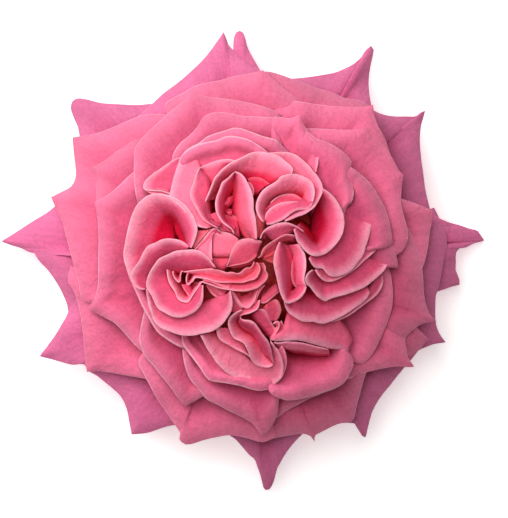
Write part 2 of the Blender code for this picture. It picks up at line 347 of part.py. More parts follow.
                               (-3, -15.8), (-2.2, -16.7), (-1, -17.2), (-0.1, -17.7), (0.5, -18.8), (1, -20)],
          hollow=(0.4, -14.2, 23.0), flare=56, lift=-1.2),
    Petal("heart_tongue_south", [(3.3, -8.3), (3.2, -9.5), (2.3, -10.6), (1, -11.2), (-0.5, -11.5),
                                 (-1.1, -12), (-0.7, -12.5), (1, -12.6), (2, -13), (3, -14.2), (4, -15.8),
                                 (5, -17), (5.7, -18.5), (6, -20.5), (6.3, -21.8)], tips=(5,),
          hollow=(4.2, -12.5, 23.0), flare=20, lift=-1.8),
    Petal("heart_bowl_south", [(5.5, -16.5), (6.5, -18), (7.5, -19.3), (8.1, -21), (8.3, -23), (8.2, -24.5),
                               (7.5, -25.6), (6.3, -26.6), (4.5, -27.7), (3, -27.3), (1.5, -26.3),
                               (-0.5, -25.8), (-2.5, -25.2), (-4, -24.2), (-5.5, -22.8), (-7, -20.8),
                               (-8.3, -18.5), (-9.4, -16.2)], hollow=(0.2, -18.6, 22.0), flare=36, lip=1.3,
          roll=90, lift=0.2),
]

INNER = CAPES + MANTLES + COLLARS + HEART


class Layer:
    """The surface that a layer's blades lie on, and how they are meshed.

    line holds (radius, height) from the roots to past the rims. step is the length of rim
    for each facet, and shares are the places along a blade of its rows.
    """

    def __init__(self, line, step, shares):
        self.line = line
        self.step = step
        self.shares = shares


LAYERS = {
    "guard": Layer([(5.0, 13.9), (15, 16.6), (25, 17.6), (33, 16.4), (40, 13.0), (45, 9.5), (50, 5.4), (54.5, 1.4)],
                   4.6, (0, 0.5, 0.8, 1)),
    "cape": Layer([(14.5, 18.8), (20, 21.4), (27, 22.8), (33, 21.9), (38, 19.2), (43, 15.4)], 6.5, (0, 0.6, 1)),
    "mantle": Layer([(16.0, 20.6), (21, 24.4), (26, 25.8), (31, 25.0), (36, 22.2), (40, 19.2)], 6.5, (0, 0.5, 1)),
    "collar": Layer([(17.5, 24.2), (20, 27.4), (23, 29.0), (28, 28.8), (33, 26.4)], 6.0, (0, 0.45, 1)),
    "heart": Layer(None, 5.0, (0, 0.5, 1)),
}

# The receptacle under the bloom: its foot carries the guard petals, its top all the others.
FOOT_PROFILE = [(0, 12.9), (4.6, 12.9), (7.4, 13.2), (8.8, 14.2), (8.0, 15.1), (4.5, 15.3), (0, 15.3)]
TOP_PROFILE = [(0, 15.7), (6.0, 15.8), (10.0, 16.7), (14.0, 17.6), (17.5, 18.6), (20.5, 20.4), (22.0, 22.6),
               (21.0, 24.4), (17.0, 26.0), (9.0, 27.2), (0, 27.6)]
RECEPTACLE_SIDES = 22
HIP_PROFILE = [(0, 0), (3.6, 0), (3.9, 0.4), (4.9, 2.4), (5.6, 5.2), (5.7, 7.4), (5.2, 9.6), (4.7, 11.2),
               (4.9, 12.2), (4.5, 12.6), (0, 12.6)]
HIP_SIDES = 30
SEPAL_COUNT = 5
SEPAL_LINE = [(3.6, 10.6), (8.0, 12.2), (13.0, 12.6), (18.0, 11.4), (22.5, 8.8), (26.0, 5.2), (28.0, 2.2)]
SEPAL_HALF_WIDTHS = [2.2, 3.3, 3.6, 3.0, 2.1, 1.2, 0.5]
SEPAL_TURN = 14.0
SEPAL_THICKNESS = 0.8


def between(points, share):
    """A point on the smooth curve through the points, at a share of the way along them."""
    count = len(points) - 1
    place = min(max(share, 0.0), 1.0) * count
    index = min(int(place), count - 1)
    t = place - index
    b, c = points[index], points[index + 1]
    a = points[index - 1] if index else b * 2 - c
    d = points[index + 2] if index + 2 <= count else c * 2 - b
    near = (c - a) * 0.5
    far = (d - b) * 0.5
    return (b * (2 * t**3 - 3 * t**2 + 1) + near * (t**3 - 2 * t**2 + t)
            + c * (3 * t**2 - 2 * t**3) + far * (t**3 - t**2))


def rim_points(petal):
    """The rim's points in space, in millimetres."""
    layer = LAYERS[petal.layer]
    points = []
    for point in petal.rim:
        x, y = point[:2]
        extra = point[2] if len(point) > 2 else 0.0
        radius = math.hypot(x, y)
        base = rise_between(layer.line, radius) if layer.line else dome(radius)
        points.append(Vector((x, y, max(base + petal.lift + extra, LOWEST_RIM))))
    return points


def rim_stations(petal, step):
    """Points along the rim about a step apart, with one on each tip."""
    points = rim_points(petal)
    marks = [0, *petal.tips, len(points) - 1]
    stations = []
    for first, last in zip(marks, marks[1:]):
        run = points[first:last + 1]
        fine = [between(run, i / 60) for i in range(61)]
        along = np.concatenate([[0.0], np.cumsum([(b - a).length for a, b in zip(fine, fine[1:])])])
        pieces = max(2, round(along[-1] / step))
        for i in range(pieces):
            spot = float(np.interp(along[-1] * i / pieces, along, np.linspace(0, 1, 61)))
            stations.append(between(run, spot))
    stations.append(points[-1])
    return stations


def slanted(outward, angle):
    """The unit direction that goes outward and rises at an angle in radians."""
    return outward * math.cos(angle) + Vector((0, 0, 1)) * math.sin(angle)


def folded_column(petal, end, shares):
    """A line up a heart petal from its root to its rim, with its way out and its last slope."""
    centre = Vector(petal.hollow)
    flat = Vector((end.x - centre.x, end.y - centre.y, 0))
    foot = centre + flat * petal.gather
    outward = flat.normalized()
    flare = math.radians(petal.flare)
    span = (end - foot).length
    first = foot + slanted(outward, math.radians(petal.start)) * span * petal.rise
    second = end - slanted(outward, flare) * span * petal.reach
    column = []
    for t in shares:
        s = 1 - t
        column.append(foot * s**3 + first * 3 * s**2 * t + second * 3 * s * t**2 + end * t**3)
    return column, outward, flare


def layered_column(petal, end, turn, shares):
    """The same for a petal that lies on its layer's surface, with its root at the bearing turn."""
    line = LAYERS[petal.layer].line
    radius = line[0][0]
    foot = Vector((radius * math.cos(turn), radius * math.sin(turn), 0))
    reach = math.hypot(end.x, end.y)
    change = end.z - rise_between(line, reach) - petal.lift
    column = []
    for t in shares:
        place = foot.lerp(Vector((end.x, end.y, 0)), t)
        height = rise_between(line, place.length)
        column.append(Vector((place.x, place.y, height + petal.lift * min(1, t * 3) + change * t**3)))
    outward = Vector((end.x, end.y, 0)).normalized()
    slope = rise_between(line, reach) - rise_between(line, reach - 1)
    return column, outward, math.atan(slope)


def petal_grid(petal, step, shares, lip_rows):
    """Points of the petal's middle surface, as a list of columns from root to lip."""
    rim = rim_stations(petal, step)
    bearings = np.unwrap([math.atan2(end.y, end.x) for end in rim])
    middle = (bearings.min() + bearings.max()) / 2
    grid = []
    for end, bearing in zip(rim, bearings):
        if petal.hollow is None:
            turn = middle + (bearing - middle) * CLAW_GATHER
            column, outward, angle = layered_column(petal, end, turn, shares)
        else:
            column, outward, angle = folded_column(petal, end, shares)
        for i in range(lip_rows):
            angle -= math.radians(petal.roll) / lip_rows
            stride = petal.lip * math.radians(petal.roll) / lip_rows
            column.append(column[-1] + slanted(outward, angle) * stride)
        grid.append(column)
    return grid


def sheet_normals(grid):
    """Unit normals of a grid of points, from its neighbours both ways."""
    points = np.array([[tuple(point) for point in column] for column in grid])
    along = np.gradient(points, axis=0)
    across = np.gradient(points, axis=1)
    normals = np.cross(along, across)
    return points, normals / np.maximum(np.linalg.norm(normals, axis=2, keepdims=True), 1e-9)


def sheet_mesh(name, grid, thickness):
    """A closed mesh of a grid of points, thickened evenly to both sides of it."""
    points, normals = sheet_normals(grid)
    columns, rows = points.shape[:2]
    half = thickness / 2
    vertices = np.concatenate([(points + normals * half).reshape(-1, 3), (points - normals * half).reshape(-1, 3)])
    under = columns * rows
    faces = []
    for i in range(columns - 1):
        for j in range(rows - 1):
            a, b = i * rows + j, (i + 1) * rows + j
            faces += [(a, b, b + 1), (a, b + 1, a + 1)]
            faces += [(under + a, under + b + 1, under + b), (under + a, under + a + 1, under + b + 1)]
    border = [i * rows for i in range(columns)]
    border += [(columns - 1) * rows + j for j in range(1, rows)]
    border += [i * rows + rows - 1 for i in range(columns - 2, -1, -1)]
    border += [j for j in range(rows - 2, 0, -1)]
    for a, b in zip(border, border[1:] + border[:1]):
        faces += [(a, under + a, under + b), (a, under + b, b)]
    return solid_object(name, vertices, faces)


def solid_object(name, vertices, faces):
    """An object from points in millimetres and faces, facing out."""
    mesh = bpy.data.meshes.new(name)
    mesh.from_pydata([tuple(float(c) * MM for c in vertex) for vertex in vertices], [], faces)
    work = bmesh.new()
    work.from_mesh(mesh)
    if work.calc_volume(signed=True) < 0:
        bmesh.ops.reverse_faces(work, faces=work.faces)
    work.to_mesh(mesh)
    work.free()
    obj = bpy.data.objects.new(name, mesh)
    bpy.context.scene.collection.objects.link(obj)
    return obj


def turned(name, profile, sides):
    """A solid of revolution about Z from a profile of (radius, height) from axis to axis."""
    vertices = [(0, 0, profile[0][1]), (0, 0, profile[-1][1])]
    rings = profile[1:-1]
    for radius, height in rings:
        for i in range(sides):
            turn = 2 * math.pi * i / sides
            vertices.append((radius * math.cos(turn), radius * math.sin(turn), height))
    faces = []
    for k in range(len(rings) - 1):
        for i in range(sides):
            a, b = 2 + k * sides + i, 2 + k * sides + (i + 1) % sides
            faces += [(a, b, b + sides), (a, b + sides, a + sides)]
    top = 2 + (len(rings) - 1) * sides
    for i in range(sides):
        j = (i + 1) % sides
        faces += [(0, 2 + j, 2 + i), (1, top + i, top + j)]
    return solid_object(name, vertices, faces)


def sepal(index):
    """One sepal: a pointed blade that arches out from the hip's collar and hangs."""
    turn = math.radians(SEPAL_TURN + 360 * index / SEPAL_COUNT)
    outward = Vector((math.cos(turn), math.sin(turn), 0))
    side = Vector((-math.sin(turn), math.cos(turn), 0))
    grid = []
    for share in (-1.0, -0.5, 0.0, 0.5, 1.0):
        column = []
        for (radius, height), half in zip(SEPAL_LINE, SEPAL_HALF_WIDTHS):
            cup = 0.16 * half * (1 - share**2)
            column.append(outward * radius + side * (share * half) + Vector((0, 0, height + cup)))
        grid.append(column)
    return sheet_mesh(f"sepal_{index}", grid, SEPAL_THICKNESS)


def join_into(target, others):
    """Fuses the others into the target, keeps its largest outer shell, and removes them."""
    group = bpy.data.collections.new("joining")
    bpy.context.scene.collection.children.link(group)
    for obj in others:
        bpy.context.scene.collection.objects.unlink(obj)
        group.objects.link(obj)
    union = target.modifiers.new("union", "BOOLEAN")
    union.operation = "UNION"
    union.operand_type = "COLLECTION"
    union.collection = group
    union.solver = "MANIFOLD"
    graph = bpy.context.evaluated_depsgraph_get()
    fused = bpy.data.meshes.new_from_object(target.evaluated_get(graph))
    target.modifiers.remove(union)
    target.data = fused
    for obj in others:
        bpy.data.objects.remove(obj)
    bpy.data.collections.remove(group)
    keep_largest_shell(target.data)


def keep_largest_shell(mesh):
    """Drops sealed hollows and loose scraps, and leaves triangles."""
    work = bmesh.new()
    work.from_mesh(mesh)
    bmesh.ops.triangulate(work, faces=work.faces)
    work.faces.ensure_lookup_table()
    seen = set()
    shells = []
    for face in work.faces:
        if face.index in seen:
            continue
        shell, waiting = [], [face]
        seen.add(face.index)
        while waiting:
            current = waiting.pop()
            shell.append(current)
            for edge in current.edges:
                for other in edge.link_faces:
                    if other.index not in seen:
                        seen.add(other.index)
                        waiting.append(other)
        volume = sum(f.verts[0].co.dot(f.verts[1].co.cross(f.verts[2].co)) for f in shell) / 6
        shells.append((volume, shell))
    shells.sort(key=lambda item: item[0], reverse=True)
    for _, shell in shells[1:]:
        bmesh.ops.delete(work, geom=shell, context="FACES")
    loose = [vertex for vertex in work.verts if not vertex.link_faces]
    bmesh.ops.delete(work, geom=loose, context="VERTS")
    work.to_mesh(mesh)
    work.free()


def colour(name, hex_value, roughness):
    """A Principled material of a colour written as sRGB hex."""
    channels = [int(hex_value[i:i + 2], 16) / 255 for i in (0, 2, 4)]
    linear = [c / 12.92 if c <= 0.04045 else ((c + 0.055) / 1.055) ** 2.4 for c in channels]
    material = bpy.data.materials.new(name)
    material.use_nodes = True
    shader = material.node_tree.nodes["Principled BSDF"]
    shader.inputs["Base Color"].default_value = (*linear, 1.0)
    shader.inputs["Roughness"].default_value = roughness
    return material


def fused_petals(name, profile, petals, material):
    """One solid of some petals and the part of the receptacle that they grow from."""
    bloom = turned(name, profile, RECEPTACLE_SIDES)
    blades = []
    for petal in petals:
        layer = LAYERS[petal.layer]
        grid = petal_grid(petal, layer.step, layer.shares, LIP_ROWS)
        blades.append(sheet_mesh(petal.name, grid, PETAL_THICKNESS))
    join_into(bloom, blades)
    bloom.data.materials.clear()
    bloom.data.materials.append(material)


def main():
    for obj in list(bpy.data.objects):
        bpy.data.objects.remove(obj)
    fused_petals("guard_petals", FOOT_PROFILE, GUARDS, colour("guard_pink", "E0699F", 0.62))
    fused_petals("petals", TOP_PROFILE, INNER, colour("petal_pink", "EF6F8E", 0.62))
    calyx = turned("calyx", HIP_PROFILE, HIP_SIDES)
    join_into(calyx, [sepal(index) for index in range(SEPAL_COUNT)])
    calyx.data.materials.clear()
    calyx.data.materials.append(colour("calyx_green", "6E8F4E", 0.6))
    for obj in bpy.data.objects:
        obj.location = (AXIS[0] * MM, AXIS[1] * MM, 0)


if __name__ == "__main__":
    main()
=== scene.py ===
"""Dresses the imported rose: fine petals in their layers, hip and sepals, lit and seen from above.

Lengths are millimetres about the bloom's axis. Guards, capes, mantles and collars have the
same rims as the model's solids and lie on the same surfaces, with one more collar in the
north-west. The heart's folded petals are traced more finely than the solids and stand on the
crowded petal bases. Each blade is a thin closed sheet with its lip rolled back.
"""

import bisect
import math

import bmesh
import bpy
import numpy as np
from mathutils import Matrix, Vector, noise


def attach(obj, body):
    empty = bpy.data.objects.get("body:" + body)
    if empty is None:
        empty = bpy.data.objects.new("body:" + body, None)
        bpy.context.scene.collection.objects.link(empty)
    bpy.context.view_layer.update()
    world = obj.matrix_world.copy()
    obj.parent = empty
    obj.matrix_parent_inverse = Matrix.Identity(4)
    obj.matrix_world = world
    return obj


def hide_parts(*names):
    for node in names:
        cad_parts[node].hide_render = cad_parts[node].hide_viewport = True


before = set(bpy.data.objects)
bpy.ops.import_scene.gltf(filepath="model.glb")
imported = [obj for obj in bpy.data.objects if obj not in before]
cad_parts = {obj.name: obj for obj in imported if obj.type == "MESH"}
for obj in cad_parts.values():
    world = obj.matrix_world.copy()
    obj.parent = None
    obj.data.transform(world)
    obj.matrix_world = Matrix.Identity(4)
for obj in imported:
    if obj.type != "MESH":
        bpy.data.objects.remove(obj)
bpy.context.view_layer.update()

MM = 0.001
# The bloom's axis in the model's frame.
AXIS = (0.5, -0.87)
# Width of a photo pixel, the photo's size in pixels, and the pixel that the axis stands at.
PIXEL = 0.22
PHOTO_SIZE = (508, 518)
PHOTO_AXIS = (245, 262)
# The dome that the heart's edges lie on: its height and reach, and how round and steep it is.
DOME_HEIGHT = 42.0
DOME_RADIUS = 56.0
DOME_ROUNDNESS = 1.1
DOME_FALL = 1.15
# Each layer's surface: distance from the axis and height.
SURFACES = {
    "guard": [(5.0, 13.9), (15, 16.6), (25, 17.6), (33, 16.4), (40, 13.0), (45, 9.5), (50, 5.4), (54.5, 1.4)],
    "cape": [(14.5, 18.8), (20, 21.4), (27, 22.8), (33, 21.9), (38, 19.2), (43, 15.4)],
    "mantle": [(16.0, 20.6), (21, 24.4), (26, 25.8), (31, 25.0), (36, 22.2), (40, 19.2)],
    "collar": [(17.5, 24.2), (20, 27.4), (23, 29.0), (28, 28.8), (33, 26.4)],
}
# The least height of a traced rim, and of a blade's underside.
LOWEST_RIM = 0.9
LOWEST_EDGE = 0.12
# A claw is a petal's narrow foot. An outer petal keeps this share of its spread at the claw.
CLAW_GATHER = 0.55
# How far a fold's claw reaches into the core, or under the collars' surface, out of sight.
CLAW_ROOT = 0.5
CLAW_SINK = 2.4
# How far a fold goes on under its neighbour past its traced base, how much further for each
# millimetre down, and the share of it at the claw's upper row.
UNDERLAP = 0.9
UNDERLAP_DRAW = 0.1
UNDERLAP_START = 0.6
# Thickness of the outer blades, of the heart's folds, and of any petal at its lip's edge.
BLADE_THICKNESS = 0.36
FOLD_THICKNESS = 0.28
EDGE_THICKNESS = 0.14
# The mesh: distance between columns along a rim, rows from root to rim, and rows over the lip.
LAYER_STEP = 0.9
LAYER_ROWS = 16
FOLD_STEP = 0.5
FOLD_ROWS = 12
LIP_ROWS = 4
# Steps that a curve is measured in: one run of a rim, and a fold's whole edge.
RUN_STEPS = 120
EDGE_STEPS = 600
# The rolled lip of the outer petals: its width, its turn in degrees, how much it narrows at a
# sharp tip and over what distance, and the width left at a rim's ends and the distance there.
LAYER_LIP = 0.7
LAYER_ROLL = 60.0
TIP_NARROWING = 0.85
TIP_REACH = 2.5
END_LIP = 0.45
END_REACH = 5.0
# How much of the rolled lip's width the blade is drawn in by, so that the rim keeps its line.
LIP_INSET = 0.8
# The rolled lip of the folds: its width, the share of its turn, the width left at an edge's
# ends and the distance there, and the most of the blade's length that the lip may take.
FOLD_LIP = 0.6
FOLD_ROLL = 0.5
FOLD_END_LIP = 0.3
FOLD_END_REACH = 2.0
MOST_INSET = 0.4
# Dents across all layers: depth and width of the slow ones and of the quick ones.
SLOW_DENT = 0.9
SLOW_WIDTH = 11.0
QUICK_DENT = 0.22
QUICK_WIDTH = 4.2
# Waves of an outer rim, and how deep one may dip as a share of their height.
RIM_WAVE = 1.4
WAVE_DIP = -0.3
# The dip and ridge before an outer rim, and how far the rim stands off what is below it.
LAYER_CREST = 1.0
RIM_STAND = 0.7
# Hollows between layers: place, radius and depth. They press the layers down, and their depth is painted
# crimson shade.
HOLLOWS = [(10.5, -19.2, 2.4, 4.6), (14.0, -19.6, 2.6, 5.2), (17.6, -19.8, 2.0, 4.2),
           (9.0, -23.0, 1.6, 2.0)]
# Height of a fold's slow waves and of its creases.
FOLD_WAVE = 0.5
FOLD_CREASE = 0.12
# The crowded petal bases: depth under the dome, radius, thickness, how rough they are, and
# the rings and sides of their mesh.
CORE_DEPTH = 11.5
CORE_RADIUS = 21.0
CORE_THICKNESS = 1.5
CORE_ROUGHNESS = 1.4
CORE_RINGS = 24
CORE_SIDES = 90
# Past this distance from the axis the petal bases fall away under the collars, by this slope.
CORE_SHOULDER = 14.0
CORE_FALL = 0.7
# Depths, under the dome or in a hollow, over which a petal is painted a crimson shade.
SHADE_DEPTHS = (1.5, 6.0)
# Between these distances from the axis the painted crimson shade fades by the share that is lost.
SHADE_REACH = (19.5, 23.0)
SHADE_LOSS = 0.85
# How salmon the very middle is, and the square of the distance that it fades over.
CENTRE_WARMTH = 0.45
WARM_SQUARE = 80
# Colours of a petal: root, blade, margin and blush, and how strong the lip's painted highlight is. The root
# is partly the base's own deeper colour and partly painted shade where the next petal covers it.
GUARD_COLOURS = ("D05080", "E0749F", "E47CA9", "DC6B9A", 0.45)
BODY_COLOURS = ("D24C74", "E87498", "F08EB0", "E66C90", 0.6)
HEART_COLOURS = ("EC5880", "FD98B4", "FEACC2", "FA94AE", 0.3)
# Painted crimson shade for deep hollows, salmon for the very middle, and a painted highlight for the lips'
# edges.
HOLLOW_SHADE = "E4063E"
SALMON = "DA4A50"
RIM_HIGHLIGHT = "FFBFCB"
# Gland hairs: the height that they start at, how many stand on a square metre, length and radii.
HAIRLESS_HEIGHT = 3.0
HAIR_DENSITY = 400000.0
HAIR_LENGTH = 0.7
HAIR_TIP = 0.03
HAIR_FOOT = 0.08
HAIR_SEED = 4
# Corners of the calyx sharper than this angle in degrees stay sharp.
SHARP_ANGLE = 50
# Points of the calyx closer than this are merged.
MERGE_DISTANCE = 0.01
# In metres: the camera's height, and the level that the framing fits and the lamps aim at.
CAMERA_HEIGHT = 1.5
RIM_LEVEL = 0.02
SENSOR_WIDTH = 36
# In metres: half the floor's side. Its glow keeps shadows pale.
FLOOR_SIDE = 1.5
FLOOR_GLOW = 0.5
WORLD_LIGHT = 0.1
# Each lamp's name, place in metres, size, power and tint.
LAMPS = [
    ("top_light", (-0.09, 0.12, 0.44), 0.38, 2.15, "FFFDFB"),
    ("side_light", (-0.58, 0.58, 0.6), 0.35, 3.9, "FFFCF8"),
]
# Names of Blender's settings that more than one material uses.
SMOOTH = {"interpolation_type": "SMOOTHSTEP"}
RGBA = {"data_type": "RGBA"}
MULTIPLY = {"operation": "MULTIPLY"}


def dome(radius):
    """Height of the dome that the heart's edges lie on, at a distance from the axis."""
    share = min(abs(radius) / DOME_RADIUS, 1.0) ** DOME_ROUNDNESS
    return DOME_HEIGHT * max(math.cos(math.pi / 2 * share), 0.0) ** DOME_FALL


def core_height(radius):
    """Height of the crowded petal bases under the heart, at a distance from the axis."""
    return dome(radius) - CORE_DEPTH - CORE_FALL * max(0.0, radius - CORE_SHOULDER)


def claw_height(radius):
    """Height at which a fold's hidden claw ends: in the core, or just under the collars."""
    return max(core_height(radius) - CLAW_ROOT, rise_between(SURFACES["collar"], radius) - CLAW_SINK)


class Petal:
    """One outer petal: its layer, its rim in plan (x, y and a rise over the layer) and its lift.

    tips are the places of the rim's sharp corners in the list. lift raises the whole petal.
    """

    def __init__(self, name, rim, tips=(), lift=0.0):
        self.layer = name.split("_")[0]
        self.rim = rim
        self.tips = tips
        self.lift = lift


def rise_between(points, radius):
    """Height at a radius on the smooth line through the points (radius, height)."""
    radii = [point[0] for point in points]
    slopes = []
    for index in range(len(points)):
        before = points[max(index - 1, 0)]
        after = points[min(index + 1, len(points) - 1)]
        slopes.append((after[1] - before[1]) / (after[0] - before[0]))
    index = min(max(bisect.bisect_right(radii, radius) - 1, 0), len(points) - 2)
    (near, low), (far, high) = points[index], points[index + 1]
    width = far - near
    t = (radius - near) / width
    if t > 1:
        return high + slopes[-1] * (radius - far)
    return (low * (2 * t**3 - 3 * t**2 + 1) + slopes[index] * width * (t**3 - 2 * t**2 + t)
            + high * (3 * t**2 - 2 * t**3) + slopes[index + 1] * width * (t**3 - t**2))


GUARDS = [
    Petal("guard_east", [(46.5, -2, -2.5), (47.1, 2.2), (47.8, 3.1), (49.5, 3.4), (51, 4.2),
          (53.2, 4.8, -1.5), (52.5, 6), (51.9, 6.9), (50, 7.4), (48, 8.1), (46, 8.6), (43, 9.8),
          (41, 11, -1), (38, 14, -2)], tips=(5,), lift=-1.1),
    Petal("guard_east_low", [(42, -12, -3), (42.5, -7.2), (43, -6.5), (44.5, -6), (46, -5.4), (47.6, -5),
          (47.7, -4.3), (47.3, -2.8), (46.9, -1.7), (47, 0), (47, 2), (47.8, 3.3, -1), (47.5, 6, -2)],
          tips=(5,), lift=-2.2),
    Petal("guard_northeast_low", [(41.5, 9, -1.5), (41, 12), (40.1, 16), (39.6, 20), (39.2, 23), (38.9, 27),
          (39.1, 30), (39.6, 32), (40, 33.6), (39.2, 33.2), (38, 32.4), (36, 32.4), (33, 32.4), (30, 33),
          (27, 34.5, -1.5)], tips=(8,)),
    Petal("guard_northeast", [(27, 31, -2), (28, 34.5), (27.7, 37), (27.5, 40), (27.8, 43), (28.4, 46),
          (28.6, 47.4), (28.1, 48.1), (27, 47.2), (26.3, 46), (25.3, 45), (24, 44), (22, 43), (20, 42.2),
          (17, 41.6), (14, 41.1), (10.5, 40.7), (7, 40.5, -2)], tips=(7,), lift=-1.1),
    Petal("guard_north_low", [(10, 38, -3), (4.5, 41.5), (3.4, 42.6), (2, 45), (1, 46.8), (0.3, 48.5),
          (-0.1, 50.2), (-0.6, 51.4), (-1.3, 51.7), (-1.9, 51.4), (-2.3, 50.5), (-2.5, 49), (-2.7, 47),
          (-5, 43, -2), (-10, 39, -4)], lift=-2.2),
    Petal("guard_north", [(6, 40, -2), (3.4, 42.5), (1.5, 43.4), (0, 44.5), (-1, 45.2), (-2, 46.3),
          (-3, 47.5), (-3.8, 48.5), (-4.3, 49.8), (-4.85, 51.1), (-5.3, 50.3), (-6.5, 48.7), (-8, 46.6),
          (-10, 44.3), (-12, 42.4), (-14, 40.6), (-16, 39), (-18, 37.5), (-20, 35.6), (-22, 33.6),
          (-24, 32, -1)], tips=(9,)),
    Petal("guard_northwest", [(-15, 36.5, -3), (-20, 35.3, -1), (-24, 34.9), (-28, 35.1), (-32, 35.4),
          (-34, 35.9), (-36, 36.4), (-37.7, 36.5), (-38.7, 35.8), (-38.9, 34.3), (-38.2, 32.3),
          (-37.3, 30.3), (-36.9, 28.5), (-36.5, 26, -1), (-36, 22, -3)], lift=-1.1),
    Petal("guard_west", [(-37, 17, -3), (-40, 14, -1), (-42.5, 12.2), (-44, 11), (-46, 9.8), (-48, 8.6),
          (-50, 7.3), (-52, 6), (-54.2, 4.6), (-52, 3.8), (-50, 3.2), (-48, 2.3), (-44, 1.6),
          (-40, 1.8, -0.5), (-36, 1, -2)], tips=(8,)),
    Petal("guard_west_low", [(-44, 6, -2), (-47, 3), (-46, 0.5), (-44, -1.6), (-42, -4.3), (-40.5, -7),
          (-39.5, -9.5), (-39, -12), (-37, -16, -2)], lift=-1.1),
    Petal("guard_southwest", [(-37, -6, -1), (-38, -8.3), (-38.8, -10), (-39.6, -12), (-40.5, -13.5),
          (-42, -16), (-44, -18.8), (-45.6, -20.9), (-43.5, -21.5), (-41, -22.2), (-38.5, -22.8),
          (-36, -22.7), (-33, -24, -1.5), (-30, -26, -3)], tips=(7,)),
    Petal("guard_south_southwest", [(-36, -22, -2), (-34.7, -24.2), (-33, -25.2), (-31, -26.8),
          (-28.5, -28.9), (-27.3, -30.3), (-26.3, -32.5), (-25.8, -35), (-25.1, -38.2), (-22, -38),
          (-20, -37.4), (-18, -36.7), (-16, -36.2), (-13, -36, -2)], tips=(8,), lift=-1.1),
    Petal("guard_south", [(-8, -35, -3), (-3.3, -38.5), (-2, -39.4), (0, -41.7), (1, -42.9), (2.2, -43.9),
          (2.8, -45.5), (3.5, -47.5), (4, -49.5), (4.3, -50.6), (4.9, -51), (5.6, -50.5), (6.3, -49),
          (6.7, -47.5), (7.1, -46), (8, -44.3), (9, -42.6), (10.3, -40.8), (12, -38.9), (14, -37, -1),
          (17, -34, -3)]),
    Petal("guard_southeast", [(16, -36, -3), (20, -35.8, -1), (22, -35.7), (24.3, -35.9), (25.3, -36.3),
          (26, -37.3), (26.3, -38.8), (26.65, -39.2), (27, -38.5), (27.3, -37), (27.8, -35), (28.3, -33.3),
          (29.3, -31.3), (30.5, -29.5), (32, -27.7), (33.5, -25.8), (35, -24), (37, -21.5, -1),
          (38.5, -18, -3)], lift=-1.1),
    Petal("guard_east_southeast", [(34, -24, -3), (36.5, -22.1), (37.5, -21), (38.6, -19.6), (40.2, -18.9),
          (42, -18.2), (44.4, -17.8), (43.2, -16), (42.5, -14), (42.3, -12), (42.3, -10), (42.4, -7.5),
          (43, -5.5), (43.7, -2), (44.3, 1.5), (44.9, 4.5), (44, 8, -1), (42, 12, -3)], tips=(6,)),
]

